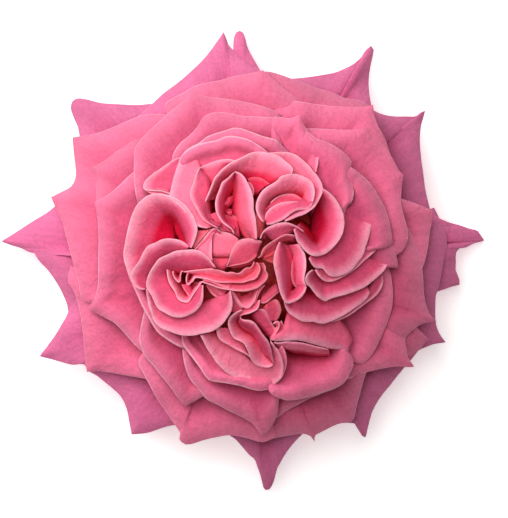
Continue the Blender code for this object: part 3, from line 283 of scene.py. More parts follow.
CAPES = [
    Petal("cape_west", [(-14, 33.5, -2), (-17, 32.5), (-19, 32.7), (-22, 32.6), (-23.5, 32.3), (-26, 31.3),
          (-29, 30), (-31.5, 29), (-34, 28.2), (-36.5, 27.8), (-38.1, 27.5), (-38, 25), (-37.7, 22),
          (-37.5, 20), (-37.7, 18.3), (-38.7, 16.6), (-41, 15.3), (-42.8, 14.3), (-42, 12.2), (-41, 10.3),
          (-40.3, 8.5), (-39.7, 6), (-39, 3.5), (-38.2, 0.5), (-37.3, -2.5), (-36.7, -5), (-36.1, -8),
          (-34.5, -9), (-32, -10, -1.5)], tips=(10, 17), lift=-1.1),
    Petal("cape_southwest", [(-38.5, -1, -1.5), (-39.2, -4.2, -0.5), (-38, -6.2), (-37.2, -8.5),
          (-36.7, -10.5), (-36.1, -14), (-35.7, -18), (-35.3, -22), (-34.9, -24.2), (-33, -24.1),
          (-31.5, -24.2), (-29, -24.6), (-26, -25.1), (-22, -25.7), (-18, -26.5, -2)], tips=(8,), lift=-2.2),
    Petal("cape_south_southwest", [(-21, -17, -2), (-22.4, -20), (-23.4, -22), (-22.6, -24), (-21.3, -26.5),
          (-19.5, -30), (-17.5, -33), (-15.5, -36), (-14.3, -38), (-14.5, -39.4), (-13.3, -40.4),
          (-11.8, -40.3), (-9, -39.4), (-6, -38.7), (-3.5, -38.3), (-1, -38.6), (2, -39.4), (4, -39.8),
          (7, -38.5, -1.5)]),
    Petal("cape_south_southeast", [(1, -38.5, -1.5), (3.5, -39.8, -0.6), (6, -39.1), (9, -38.5),
          (12, -38.0), (13.5, -38.1), (14.7, -38.6), (15.35, -39.6), (15.4, -38.4), (17, -37.6),
          (19, -36.6), (21, -35.8), (23, -35.6), (24.1, -34.8), (24.7, -32), (25.7, -28), (26.5, -25),
          (27.5, -22, -1)], tips=(7,), lift=-1.1),
    Petal("cape_southeast", [(19, -26.5, -1), (22, -25.9), (24, -25.3), (26, -24.6), (28, -24), (31, -23.4),
          (34, -23), (36, -23.2), (37.3, -23.1), (36.3, -21.7), (35.9, -20.5), (35.7, -19), (35.4, -17.5),
          (36, -15, -1), (36.5, -12, -3)], tips=(8,)),
    Petal("cape_east_small", [(36, -21, -2), (38.4, -19.5, -1), (39.5, -18.2), (40.5, -17.1), (39.2, -15.8),
          (38, -14.6), (36.5, -13.5), (35, -11, -2)], tips=(3,), lift=-1.1),
    Petal("cape_east_low", [(34, -18, -2), (36.5, -15.5, -0.5), (38.5, -14), (40.3, -13.3), (42.2, -13.1),
          (41, -11.8), (40.3, -10.3), (39.8, -8.5), (39.5, -6), (39.3, -3), (38.9, 0), (38.2, 2),
          (37.3, 4.5), (36.3, 7), (34.5, 9, -1)], tips=(4,)),
    Petal("cape_east", [(37.5, -4, -2), (39.3, -1), (40.1, 1.5), (40.6, 4), (40.9, 6.5), (41.3, 9),
          (41.3, 11.4), (40, 11.9), (38.5, 12.6), (36.5, 13.3), (34.5, 13.9), (31, 15, -1.5)], tips=(6,),
          lift=-1.1),
    Petal("cape_northeast", [(33, 21, -2), (31.9, 24.5), (31, 27.3), (29.6, 29.8), (28.7, 32), (28.4, 33.5),
          (28.25, 34.7), (27, 34.4), (24, 34.3), (20, 34.4), (17, 34.7), (14, 35.1), (11.5, 35.5),
          (9, 35.3), (7, 34.5), (5.5, 33.5), (4.2, 32.2), (3, 30, -1)], tips=(6,)),
    Petal("cape_north_northeast", [(29, 31, -2), (28, 34.2, -1), (27, 34.9), (25.5, 35.8), (24, 36.1),
          (22, 36.4), (20, 37.3), (18, 38), (15.5, 38.7), (13, 39.7), (10.5, 40.6), (8, 41.5), (6, 42.1),
          (4, 42.2), (2, 41, -1.5), (0, 39, -3)], lift=-1.1),
    Petal("cape_north", [(12.5, 35, -1.5), (11, 36.5), (9.5, 37.6), (8, 38.8), (6.5, 40.1), (5, 41.4),
          (4, 42.2), (2.5, 41.9), (0, 41.5), (-3, 41), (-6, 40.1), (-9, 39.6), (-11.5, 38.7), (-14, 37.3),
          (-16.5, 36), (-17.6, 35.2), (-17.6, 34.3), (-17, 32.8), (-16, 31, -1.5)], tips=(6,)),
]

MANTLES = [
    Petal("mantle_northwest", [(-21.5, 28.8, -1.5), (-24.5, 26.9), (-26, 26), (-28, 24.7), (-30, 23.1),
          (-32, 21.8), (-33.8, 20.8), (-33.2, 19), (-32.9, 17), (-32.8, 15), (-32.8, 12.5, -0.5),
          (-31.5, 9, -2)], tips=(6,), lift=-2.2),
    Petal("mantle_west", [(-22.5, 21.3, -1), (-24.5, 19.7), (-26, 18.5), (-27.5, 17), (-29.3, 15.4),
          (-31, 14.2), (-33, 13.1), (-32.6, 11), (-32.3, 8), (-32.2, 4), (-32.3, 0), (-32.3, -4),
          (-32.8, -7), (-33.7, -9), (-34.5, -10.4), (-33, -11.1), (-31, -12.2), (-29, -13.2),
          (-27.3, -14.7), (-25, -17.3), (-23.3, -19), (-21.5, -20.5, -1)], tips=(6, 14), lift=-1.1),
    Petal("mantle_north", [(8, 32, -1), (6, 33.5), (3, 34.6), (0, 35.3), (-3, 35.8), (-6, 36.2), (-9, 36.6),
          (-11.7, 37.3), (-13, 36), (-14.5, 34.7), (-17, 32.7), (-19, 30.8), (-21, 29), (-23, 27),
          (-24.3, 25), (-24.4, 23), (-24.4, 20), (-24.2, 17), (-23.8, 14.5), (-23, 11.5, -1)], tips=(7,)),
    Petal("mantle_northeast", [(31.5, 0.5, -1), (33.6, 1.7), (34.9, 2.8), (35.9, 5), (35.9, 7), (35.2, 9.6),
          (34.6, 12), (34.4, 14), (34.6, 17), (34.8, 19.2), (34, 20), (33.2, 21.6), (32, 24), (31, 25.4),
          (29, 27), (26.5, 29.3), (22, 29.1), (18, 29.3), (14, 29.3), (11.5, 29, -1)], tips=(9, 15)),
    Petal("mantle_southeast", [(21, -17.5, -1), (23, -20), (24, -21.9), (25.2, -22.3), (26.8, -21.7),
          (28.3, -20), (29.8, -17), (31.5, -13), (32.4, -10), (32.6, -7), (32.1, -3), (31, 0, -1)],
          lift=-1.1),
    Petal("mantle_south", [(-13.4, -17, -0.5), (-13.6, -19), (-13.2, -22), (-12.4, -24.8), (-11.5, -26.3),
          (-10, -28), (-8.5, -30), (-6, -31.3), (-3.5, -32.7), (-1, -34), (1.5, -35.4), (2.8, -36.9),
          (3.8, -38.3), (5, -37.2), (6.2, -35.5), (6.9, -34), (7.2, -32), (7.5, -29.5, -0.5)], tips=(12,),
          lift=1.1),
    Petal("mantle_south_southeast", [(4, -35, -1.5), (6.9, -34.4), (9, -32.9), (11, -31.8), (14, -30.2),
          (17, -29), (20, -27.9), (23, -26, -0.5), (25, -23, -1.5)], lift=-2.2),
    Petal("mantle_southwest", [(-21, -8.5, -1), (-21.9, -10.6), (-22.6, -13.5), (-23.1, -16.4),
          (-22.9, -18.3), (-21.8, -20.8), (-20.2, -22.6), (-18.5, -24.8), (-16.5, -27.3), (-14.8, -29.8),
          (-13.1, -31.7), (-11.5, -30.8), (-10, -29.9), (-8, -29, -0.5), (-5, -29, -2)], tips=(10,)),
]

COLLARS = [
    Petal("collar_north", [(9, 30.5, -1), (6.2, 31.7), (4, 31.9), (2, 32), (-1, 32.2), (-3, 32.7), (-6, 33),
          (-8, 32.5), (-9.3, 31.7), (-10.3, 30), (-12, 28), (-14, 26.3), (-15.3, 24.5), (-15.9, 22.8),
          (-16, 20.5, -1)], lift=-1.1),
    Petal("collar_north_northeast", [(16.2, 22, -1), (15.8, 24.8), (14.5, 27.6), (13.1, 29.7), (12.4, 31.2),
          (12.2, 32.4), (10, 31.5), (8, 31.8), (6.1, 31.8), (6.5, 30), (7.5, 28, -0.3), (8.5, 26, -1)],
          tips=(5,)),
    Petal("collar_upper", [(10.5, 23, -1), (8.8, 24.6), (7.5, 26), (6.5, 26.8), (4.5, 27.3), (2.5, 28),
          (0.5, 28.8), (-1, 29.3), (-2.5, 29.4), (-4, 28.9), (-6, 28.3), (-8.3, 27.4), (-10, 26),
          (-12.5, 24.7), (-14, 23, -1)], lift=1.1),
    Petal("collar_inner", [(6, 23, -0.8), (4.5, 24.3), (3, 25.4), (1, 26.6), (-1, 27.2), (-3, 27.5),
          (-4.5, 27.3), (-6, 26.6), (-9, 26), (-11, 25.3), (-13, 24), (-14.5, 22, -1)], lift=2.2),
    Petal("collar_northeast", [(21.3, 9, -0.5), (21.7, 11), (22.3, 12.2), (23.3, 13.2), (23.8, 15),
          (23.5, 17), (22.9, 19), (23.1, 20.5), (23.4, 22), (22.3, 23.5), (20.5, 25), (18, 26.3),
          (15.5, 27.2), (13.8, 28.5), (12, 28, -1)], lift=1.1),
    Petal("collar_east", [(27.5, 2.2, -1), (29.5, 3), (31, 3.2), (32.3, 4.3), (32.1, 6.5), (31.7, 9),
          (30.8, 11.8), (29.5, 14.3), (28, 16.7), (26, 18.8), (23.4, 20.7), (21, 21.5, -1)], tips=(3,)),
    Petal("collar_east_low", [(29, -3, -1.2), (31.5, -1), (32.3, -1), (33.6, -1.3), (33.2, 1.5),
          (32.5, 3.5), (31, 5, -1)], tips=(3,), lift=-1.1),
    Petal("collar_northwest", [(-22, -7.5, -1), (-23.9, -3), (-24.7, 1.5), (-24.5, 5), (-23.8, 8),
          (-22.6, 10.8), (-21, 12.8), (-19.2, 14, -1)], lift=-0.6),
    Petal("collar_west", [(-24.5, 8, -1), (-26.2, 3.5), (-26.4, 1), (-25.4, -2.7), (-24.4, -5),
          (-23.3, -7.5), (-22.3, -9.7), (-21, -12), (-19.2, -15), (-17, -16.8), (-15, -18), (-13.5, -18.6),
          (-11, -18.5, -1)]),
    Petal("collar_southwest", [(-13.5, -14.5, -1), (-13.7, -16.2), (-13.4, -18), (-12, -20), (-10, -22.7),
          (-8.3, -25.3), (-7, -26), (-4, -26.4), (-1, -27), (1.5, -27.8), (3.5, -28.1), (6, -27.5, -0.5),
          (8, -26, -1.5)], lift=1.1),
    Petal("collar_southeast", [(5, -27.5, -0.8), (6, -29), (9, -30.3), (12, -30.1), (15, -29.3),
          (18, -28.3), (20, -27.5), (22, -26.2), (23, -24.5), (23.8, -22.8), (23.6, -21.3),
          (22.5, -19.5, -0.5), (21, -17.5, -1.5)]),
]


class Fold:
    """One face of the heart's folded petals, between its edge and the base where it is lost.

    Both are traced in plan. The edge stands at top above the dome. A base point lies depth
    under it, unless it gives a depth of its own. marks are the edge's points that the base's
    points belong to. steep says how soon the blade levels out: 1 is a straight slope and 3 a
    wall with a level lip. hump swells the blade, and lip and roll shape its rim. warm is how
    salmon the petal is.
    """

    def __init__(self, edge, base, marks=None, top=0.0, depth=5.0, steep=1.6, hump=0.0,
                 lip=0.5, roll=70.0, warm=0.0):
        self.edge = edge
        self.base = base
        self.marks = marks
        self.top = top
        self.depth = depth
        self.steep = steep
        self.hump = hump
        self.lip = lip
        self.roll = roll
        self.warm = warm


FOLDS = {
    "loop_west": Fold([(-11.6, 3), (-11, 4.3), (-10.45, 6), (-10.3, 7.4), (-10.7, 9), (-11.5, 10.6),
        (-12.6, 12.1), (-13.8, 13.1), (-15.1, 13.9), (-16.6, 14.5), (-18.3, 14.9), (-20, 14.85),
        (-21.4, 14.4), (-22.6, 13.5), (-23.6, 12.4), (-24.3, 11.1), (-24.9, 9.6), (-25.3, 8.2),
        (-25.7, 6.5), (-26.1, 4.5), (-26.4, 2.5), (-26.45, 0.8), (-26, -0.9), (-25.4, -2.2), (-24.8, -3.3)],
        [(-12.4, 3.4, 3), (-13.3, 5.4, 7), (-14.2, 7, 8), (-14.8, 8.2, 8), (-15.6, 8.6, 9), (-16, 7.5, 10),
        (-16, 5.5, 10), (-17.5, 3.5, 9), (-21, -1.5, 7)], marks=[0, 2, 4, 6, 9, 12, 16, 20, 24],
        steep=[3, 3, 2.8, 2.2, 1.7, 1.5, 1.5], lip=0.8),
    "loop_west_inner": Fold([(-12.2, 3.4), (-12.9, 4.1), (-14.2, 4.75), (-15.6, 5.05), (-17, 5.1),
        (-18.3, 4.8), (-19.5, 4.2), (-20.8, 3.7), (-21.8, 2.7), (-22.4, 1.5), (-23.1, 0.2), (-24, -1),
        (-24.7, -2.2), (-24.9, -3.1), (-24.6, -4.2), (-24, -5.2), (-23, -5.9), (-21.9, -6)],
        [(-12.5, 2.4, 2.25), (-15.5, 1.2, 4.5), (-17.6, 0.2, 5.25), (-19.6, -1.8, 5.25), (-20.8, -3.6, 4.5),
        (-21.3, -4.8, 3.75), (-21.2, -5.6, 3)], marks=[0, 3, 5, 8, 11, 14, 17], top=-0.3, steep=1.9, lip=0.5),
    "spiral": Fold([(-6.3, -1.1), (-7, -0.2), (-7.6, 0.7), (-8.6, 1.6), (-9.8, 2.4), (-11, 2.7),
        (-12.5, 2.65), (-14, 2.55), (-15.3, 2.3), (-16.6, 1.7), (-18, 1.1), (-18.9, 0.5), (-19.7, -0.6),
        (-20.4, -1.6), (-21, -2.8), (-21.4, -4.1), (-21.5, -5.2), (-21.1, -6.2), (-20.4, -7.2),
        (-19.9, -8.3), (-19.4, -9.4), (-18.7, -10.3), (-17.5, -11), (-16.2, -11.7), (-14.8, -12.05),
        (-13.4, -12), (-12, -11.5), (-10.9, -10.9), (-10, -10), (-9.4, -9.1), (-9.05, -8), (-9, -6.5),
        (-9, -5)], [(-6.7, -1.4, 1.5), (-8.6, -1.4, 2.25), (-12, -1.2, 2.5), (-15, -1.6, 3),
        (-17, -2, 3.25), (-17.3, -3.6, 3), (-16.4, -5.5, 2.75), (-15.4, -7.1, 2.5), (-14.2, -8.3, 2.25),
        (-12.4, -8.6, 2), (-11, -7.2, 1.75), (-9.5, -5, 1.25)],
        marks=[0, 3, 6, 9, 12, 15, 18, 21, 24, 27, 29, 32], top=0.2, steep=1.8, lip=0.6),
    "fold_west": Fold([(-17, -1.6), (-16.9, -3), (-16.6, -4.2), (-16, -5.4), (-15.3, -6.4), (-15, -7.2),
        (-14.7, -7.9), (-14, -8.5), (-13.2, -8.8), (-12.4, -8.8), (-11.9, -8.3), (-11.4, -7.5),
        (-10.8, -6.6), (-10.2, -5.7), (-9.6, -4.8), (-9.2, -4.2)], [(-15.8, -2, 4.8), (-13.8, -5.5, 5.6),
        (-13, -7.2, 4.8), (-12.5, -7.4, 4.8), (-11.2, -5.6, 4.8), (-10, -4.3, 3.2)],
        marks=[0, 5, 8, 10, 13, 15], top=-1.5, lip=0.3),
    "curl_west": Fold([(-15.7, -2), (-15.7, -2.6), (-15.5, -3.3), (-15.1, -3.9), (-14.6, -4.4),
        (-14.2, -4.5), (-14, -4.2), (-14, -3.4), (-13.9, -2.7), (-13.7, -2.1), (-13.4, -1.9)],
        [(-15.2, -1.8, 5), (-14.7, -2.8, 6), (-14.3, -2.6, 6), (-13.8, -1.8, 4)], marks=[0, 4, 7, 10],
        top=-1.8, lip=0.2),
    "curl_west_inner": Fold([(-12.4, -2.3), (-12.7, -3), (-12.8, -4), (-12.7, -4.7), (-12.4, -5.1),
        (-12, -4.9), (-11.6, -4.4), (-11.3, -3.9), (-11, -3.4), (-10.7, -3.1)], [(-12, -2.2, 4),
        (-12.2, -3.8, 6), (-10.9, -2.6, 4)], marks=[0, 4, 9], top=-1.6, lip=0.2),
    "leaf_west": Fold([(-13.7, -4.9), (-13.4, -5.6), (-13, -6.3), (-12.5, -7), (-12.1, -7.5), (-12, -8)],
        [(-12.7, -4.8), (-12.2, -5.6), (-11.8, -6.4), (-11.8, -7.4)], top=-2.6, depth=3, lip=0.2),
    "ribbon_upper": Fold([(-13.4, -2.1), (-12, -1.9), (-10.5, -1.7), (-9, -1.55), (-7.6, -1.4),
        (-6.5, -1.5), (-5.5, -1.75), (-4.7, -2), (-4, -2.3), (-3.2, -2.15), (-2.4, -2.25), (-1.8, -2.5),
        (-1.1, -2.3), (-0.6, -1.9), (0, -1.35), (0.6, -1.2), (1.1, -1.2), (1.6, -0.7), (2, 0.1)],
        [(-11.5, -2.5), (-8, -3.05), (-6, -3.55), (-4, -3.85), (-2, -3.95), (-0.5, -3.8), (0.6, -3.2),
        (1.5, -2.6), (2.2, -1.6), (2.4, -0.4)], top=-1.1, depth=2.53, steep=1.5, lip=0.3, warm=0.17),
    "ribbon_middle": Fold([(-11.4, -4.4), (-10.9, -3.4), (-9.6, -3.5), (-8, -3.8), (-6.5, -4.3), (-5, -4.5),
        (-3.5, -4.5), (-2, -4.5), (-0.6, -4.5), (0.3, -4.3), (1.2, -4), (2.1, -3.8), (2.8, -3.2),
        (3.1, -2.5), (3.4, -1.6), (3.2, -0.7), (2.6, -0.1)], [(-10.8, -2.9), (-8.6, -2.9), (-6, -3.5),
        (-4, -3.8), (-2, -3.9), (-0.5, -3.7), (0.6, -3.1), (1.5, -2.5), (2.2, -1.5), (2.3, -0.3)], top=-0.7,
        depth=2.2, steep=1.5, lip=0.25, warm=0.17),
    "ribbon_thin": Fold([(-9.1, -3.9), (-7.6, -4.3), (-6.5, -4.65), (-5.5, -5.1), (-4.4, -5.5),
        (-3.2, -5.7)], [(-9, -3.6), (-7.4, -4), (-5, -4.7), (-3, -5.1)], top=-0.5, depth=1.5, lip=0.2,
        warm=0.18),
    "ribbon_lower": Fold([(-9.3, -4.3), (-8, -4.85), (-7, -5.2), (-6, -5.6), (-5, -5.85), (-4, -6),
        (-3, -6.15), (-2, -6.3), (-1, -6.35), (0, -6.35), (1, -6.2), (2, -5.9), (3, -5.5), (3.6, -4.95),
        (4.3, -4.4), (4.8, -3.7), (5.05, -3), (4.9, -2.4), (4.5, -1.9), (4.5, -1), (4, -0.2)],
        [(-8.9, -4.1), (-7, -4.5), (-5, -4.8), (-3, -4.9), (-1, -4.9), (0.3, -4.7), (1.5, -4.4),
        (2.6, -3.9), (3.3, -3.1), (3.6, -2), (3.6, -1), (3.4, -0.2)], top=-0.3, depth=2.2, lip=0.3,
        warm=0.15),
    "leaf_under_ribbons": Fold([(-8.4, -5), (-8, -5.8), (-7.5, -6.6), (-6.9, -7.2), (-6, -7.7),
        (-5, -7.95)], [(-7.6, -5), (-7, -5.4), (-6.3, -6), (-5.7, -6.6), (-5.1, -7.1), (-4.6, -7.4)],
        top=-3.2, depth=2.3, lip=0.25),
    "leaf_under_ribbons_inner": Fold([(-6.9, -5.5), (-6.2, -6.2), (-5.5, -6.8), (-4.8, -7.2)],
        [(-5.8, -5.2), (-5.2, -5.5), (-4.6, -6), (-4.1, -6.5)], top=-3.6, depth=2.8, lip=0.2),
    "bowl_west": Fold([(-21.5, -5.8), (-21.5, -7.2), (-21.2, -8.5), (-20.9, -9.8), (-20.4, -11.1),
        (-20, -12.5), (-19.3, -13.5), (-18.2, -14.4), (-16.8, -15), (-15.4, -15.5), (-14, -15.9),
        (-12.5, -16.05), (-11, -15.95), (-9.5, -15.6), (-8, -15.3), (-6.8, -14.9), (-5.7, -14.2),
        (-4.7, -13.3), (-3.9, -12.2), (-3.2, -11.1), (-2.8, -10.1), (-2.7, -9), (-2.8, -7.6), (-3.1, -6.2)],
        [(-20.6, -6.6, 1.2), (-18.8, -9.8, 1.62), (-16.6, -10.8, 1.8), (-13.5, -10.6, 2.16),
        (-10.5, -9.8, 2.34), (-8.4, -9.4, 2.16), (-6.2, -8.6, 1.8), (-5, -7.9, 1.44), (-3.6, -6.8, 1.2)],
        marks=[0, 4, 7, 10, 13, 16, 19, 21, 23], top=0.5, steep=1.5, lip=0.9),
    "cup_south": Fold([(-3, -6.2), (-2.3, -7), (-1.8, -7.8), (-1.4, -8.5), (-1, -9.2), (-0.4, -9.8),
        (0.3, -10.1), (1, -10), (1.5, -9.4), (2.1, -8.6), (2.4, -7.7), (2.6, -6.8), (2.9, -6.2)],
        [(-2.2, -6.4, 3.2), (-1.2, -8.2, 3.2), (0, -8.1, 3.6), (1.2, -7.5, 3.6), (2.4, -6.2, 3.2)],
        marks=[0, 3, 6, 9, 12], top=-1.6, lip=0.25, warm=0.1),
    "cup_south_outer": Fold([(-3, -6.3), (-2.35, -7.1), (-1.85, -7.9), (-1.45, -8.6), (-1.05, -9.3),
        (-0.4, -9.9)], [(-2.9, -7), (-2.8, -8), (-2.7, -9), (-2.3, -9.9), (-1.4, -10.3), (-0.7, -10.5)],
        top=-1.8, depth=2.5, steep=1.2, lip=0.1),
    "curl_south_east": Fold([(4.4, -4.9), (3.8, -5.7), (3.3, -6.4), (3, -7.1), (2.7, -7.8), (2.4, -8.5),
        (2.1, -9.2)], [(3.4, -5.2), (2.9, -6), (2.6, -6.8), (2.2, -7.8), (1.8, -8.8)], top=-1.8, depth=2,
        lip=0.2, warm=0.2),
    "tongue_south_upper": Fold([(3.3, -8.2), (3.15, -9.3), (2.8, -10.2), (2.1, -10.7), (1.2, -11.1),
        (0.3, -11.35), (-0.5, -11.5), (-1, -11.9)], [(2.8, -8.4), (2.3, -9.3), (1.9, -9.8), (1.3, -10.2),
        (0.6, -10.4), (-0.2, -10.6), (-0.8, -10.9), (-1.3, -11.5)], top=-1, depth=2.2, lip=0.3, warm=0.1),
    "tongue_south": Fold([(-1, -11.95), (-0.7, -12.35), (0, -12.55), (1, -12.6), (1.8, -12.95),
        (2.5, -13.6), (3.1, -14.5), (3.7, -15.4), (4.4, -16.3), (5.1, -17.2), (5.5, -18.2), (5.8, -19.3),
        (6, -20.4), (6.2, -21.4), (6.3, -22.1)], [(-1.1, -12.2, 1.25), (-0.8, -13, 1.75), (-0.3, -13.6, 2),
        (0.5, -14.2, 2.25), (1.3, -14.6, 2.25), (2, -15, 2), (2.6, -15.7, 2), (3.5, -17.4, 1.75),
        (4.5, -19.1, 1.75), (5.2, -20.5, 1.5), (6, -21.8, 1.2)], marks=[0, 1, 2, 3, 4, 5, 6, 8, 10, 12, 14],
        top=0.2, steep=2.2, lip=0.4),
    "slot_south": Fold([(-0.6, -10.4), (-1.6, -10.7), (-2.7, -11.4), (-3.4, -12.2), (-3.7, -13.2),
        (-3.5, -14.3), (-3.1, -15.4), (-2.5, -16.5), (-1.6, -17), (-0.7, -17.4), (-0.1, -17.9),
        (0.4, -18.9), (0.8, -19.8), (1, -20.6), (1.7, -21.7), (2.7, -22.5), (4, -22.95), (5.3, -22.95),
        (6.1, -22.5)], [(-0.9, -11.6, 4), (-1.3, -12.9, 6.4), (-0.6, -14, 6.4), (0.8, -14.9, 6.4),
        (2.2, -16, 5.6), (3.2, -17.6, 4.8), (4, -19.2, 4), (4.9, -20.6, 3.2), (5.8, -21.7, 2.4),
        (6.2, -22.1, 1.6)], marks=[0, 3, 5, 7, 9, 11, 13, 15, 17, 18], top=-0.4, steep=1.5, lip=0.35),
    "fold_south": Fold([(-6.3, -14.2), (-6.1, -15.4), (-5.8, -16.4), (-5.3, -17), (-4.6, -17.5),
        (-3.8, -17.9), (-3, -18.4), (-2.2, -18.9), (-1.2, -19.4), (-0.2, -19.9), (0.6, -20.3),
        (0.9, -20.6)], [(-4, -14.3), (-3.4, -15.3), (-3, -16.2), (-2.4, -17), (-1.4, -17.6), (-0.4, -18.2),
        (0.2, -19), (0.7, -20)], top=-0.8, depth=2.3, lip=0.35),
    "bowl_south": Fold([(-9.7, -15.9), (-9.1, -17.1), (-8.5, -18.4), (-7.8, -19.5), (-7, -20.7),
        (-6.2, -21.9), (-5.3, -22.9), (-4.3, -23.9), (-3.1, -24.7), (-1.8, -25.4), (-0.5, -25.85),
        (0.8, -26.2), (1.7, -26.7), (2.4, -27.25), (3, -27.5), (4, -27.85), (4.8, -27.7), (5.8, -27.2),
        (6.8, -26.5), (7.7, -25.7), (8.25, -24.8), (8.4, -23.6), (8.4, -22.3), (8.2, -21.1), (7.8, -20),
        (7.2, -19), (6.5, -18.1), (5.6, -17.2)], [(-7.5, -15.3, 3.6), (-5, -17, 3.6), (-2.5, -19, 3),
        (0, -20.8, 2.4), (2, -22.4, 2.16), (4.5, -23, 1.92), (6.3, -22.6, 1.68), (6.5, -21, 1.44),
        (6.3, -19.4, 1.2), (5.7, -17.9, 1.2)], marks=[0, 4, 8, 11, 14, 17, 20, 23, 25, 27], top=0.1,
        steep=1.5, lip=0.8),
    "strip_south": Fold([(8, -18.2), (8.7, -19.3), (9.05, -20.7), (9.1, -22), (8.9, -23.3), (8.5, -24.5),
        (8, -25.4)], [(7.4, -18.9), (7.9, -20.4), (8.1, -22), (8, -23.8), (7.6, -25)], top=-1.2, depth=1.5,
        lip=0.3),
    "lip_south_east": Fold([(5.8, -16.95), (7, -17.25), (9, -17.15), (11, -17.05), (12.5, -17.25),
        (14, -17.65), (15.5, -18.05), (17, -18.5), (18.5, -18.9), (20, -19.1), (21.5, -19.2),
        (22.6, -19.3)], [(6.5, -15.8, 2.25), (8.4, -14, 2.7), (9.4, -11.7, 3.06), (12, -11.5, 3.6),
        (14, -12, 3.6), (16, -12.4, 3.6), (18, -12.4, 3.6), (19.6, -12.9, 3.24), (20.6, -14, 2.7),
        (21.5, -15, 2.34), (22.4, -16.2, 1.8), (23.1, -18, 1.26)], top=-0.6, steep=1.3, hump=1.1, lip=0.6),
    "lip_south_east_under": Fold([(6.3, -17.5), (7.4, -17.6), (9, -17.3), (11, -17.4), (12.5, -17.6),
        (14, -17.95), (15.5, -18.35), (16.8, -18.7), (18.2, -19.05)], [(6.8, -18), (8.5, -18.2),
        (10.5, -18.3), (12.5, -18.5), (14.5, -18.9), (16.5, -19.2), (18.3, -19.3)], top=-0.9, depth=1.6,
        steep=1.2, lip=0.2),
    "triangle_south": Fold([(7.9, -12.7), (8.35, -13.5), (8.8, -14.4), (9.15, -15.3)], [(7.5, -13.3),
        (7.5, -14.2), (7.3, -15), (7.1, -15.7)], top=-2.2, depth=1.8, lip=0.15, warm=0.4),
    "leaf_south": Fold([(5.4, -8.8), (6.6, -8.15), (7.2, -8.4), (7.7, -9.4), (7.9, -10.5), (7.6, -11.5),
        (7.1, -12.4), (6.4, -12.8)], [(5, -9.1), (4.75, -9.5), (4.7, -10), (4.8, -10.6), (5, -11.3),
        (5.3, -11.9), (5.6, -12.4), (6, -12.8)], top=-2.6, depth=1.9, lip=0.25, warm=0.32),
    "leaf_south_low": Fold([(3, -10.3), (3.9, -10.2), (4.7, -10.8), (5.2, -11.8), (5.7, -12.9),
        (6.3, -13.9), (6.65, -14.7), (6.4, -15.5), (6, -16)], [(2.4, -10.8), (2.4, -11.3), (2.8, -12.1),
        (3.3, -12.8), (3.9, -13.5), (4.5, -14.3), (5.1, -15), (5.5, -15.6), (5.7, -16.1)], top=-2.2,
        depth=2.3, lip=0.25, warm=0.15),
    "curl_south": Fold([(6.2, -13.4), (6.6, -12.95), (7.1, -12.8), (7.5, -13.1), (7.6, -13.8), (7.4, -14.5),
        (7.1, -15), (6.7, -15.6), (6.2, -16.2), (5.8, -16.8), (5.6, -17.3)], [(6.6, -13.6), (7, -13.6),
        (7.1, -14.1), (6.8, -14.8), (6.3, -15.6), (5.5, -16.7)], top=-1.4, depth=1.8, lip=0.2, warm=0.3),
    "ribbon_south_east": Fold([(3.4, -8.9), (4.2, -9), (5, -8.6), (5.8, -7.9), (6.6, -7.2), (7.4, -6.5)],
        [(3.6, -8), (4.3, -7.7), (5, -7.1), (5.7, -6.5), (6.4, -6), (7.1, -5.5)], top=-2.2, depth=2.5,
        lip=0.25, warm=0.2),
    "bowl_south_east_outer": Fold([(19, -13.1), (20.5, -12.65), (22, -12.1), (23.5, -11.2), (25, -10.1),
        (26.5, -9), (27.8, -8.05), (29, -7), (29.8, -5.8), (30.2, -4.6), (30.2, -3.2)], [(19, -12),
        (22, -10.2), (25, -8), (27.5, -6), (28.6, -4), (28.8, -2.6)], top=-1, depth=1.8, lip=0.4),
    "bowl_south_east": Fold([(8.5, -8.7), (8.7, -9.6), (9, -10.3), (9.5, -11), (10.2, -11.6), (11.2, -12.2),
        (12.3, -12.8), (13.5, -13), (14.8, -13), (16, -13.3), (17.2, -13.4), (18.5, -13), (19.8, -12.45),
        (21, -11.9), (22.2, -11.2), (23.4, -10.4), (24.6, -9.6), (25.7, -8.8), (26.6, -7.9), (27.3, -6.8)],
        [(9.6, -8.3, 3), (10.5, -8.6, 3.6), (13, -7.4, 4.2), (16, -7.6, 4.2), (20, -6.6, 3.9),
        (24, -5.2, 3.3), (26.5, -4.4, 2.4)], marks=[0, 3, 6, 9, 13, 16, 19], top=-0.1, steep=1.9, lip=0.6),
    "lobe_east": Fold([(14.6, -1.7), (13.6, -2.4), (13.1, -3.6), (13.4, -4.8), (14.2, -5.5), (14.9, -6.5),
        (16, -7.7), (17.4, -8.5), (18.6, -8), (20.3, -7.5), (22, -7.1), (23.7, -6.5), (25.3, -5.9),
        (26.6, -5.2), (28, -4.1), (29.3, -3), (30.4, -1.9), (31.5, -0.1)], [(15.2, -1.8, 1.6),
        (15.4, -2.8, 2.72), (16, -3.6, 3.52), (17.4, -4, 3.68), (19, -3.7, 3.52), (21.5, -2.5, 3.2),
        (24, -1, 2.72), (26, 0.3, 2.24), (27.2, 0.7, 1.76)], marks=[0, 2, 4, 7, 9, 11, 13, 15, 17], top=0.1,
        lip=0.6),
    "band_east": Fold([(15.2, -1.7), (15.9, -2.9), (16.9, -3.9), (18, -4.3), (19.5, -4.1), (21, -3.4),
        (22.8, -2.4), (24.5, -1.2), (26, 0.2), (27.2, 1.2), (28.3, 2.2), (29.2, 3.2)], [(16.2, -1.4, 1.7),
        (17.5, -2.2, 2.2), (19.5, -2.2, 2), (22, -1.2, 1.7), (24.6, 1.1, 1.4), (26.3, 3.4, 1.2),
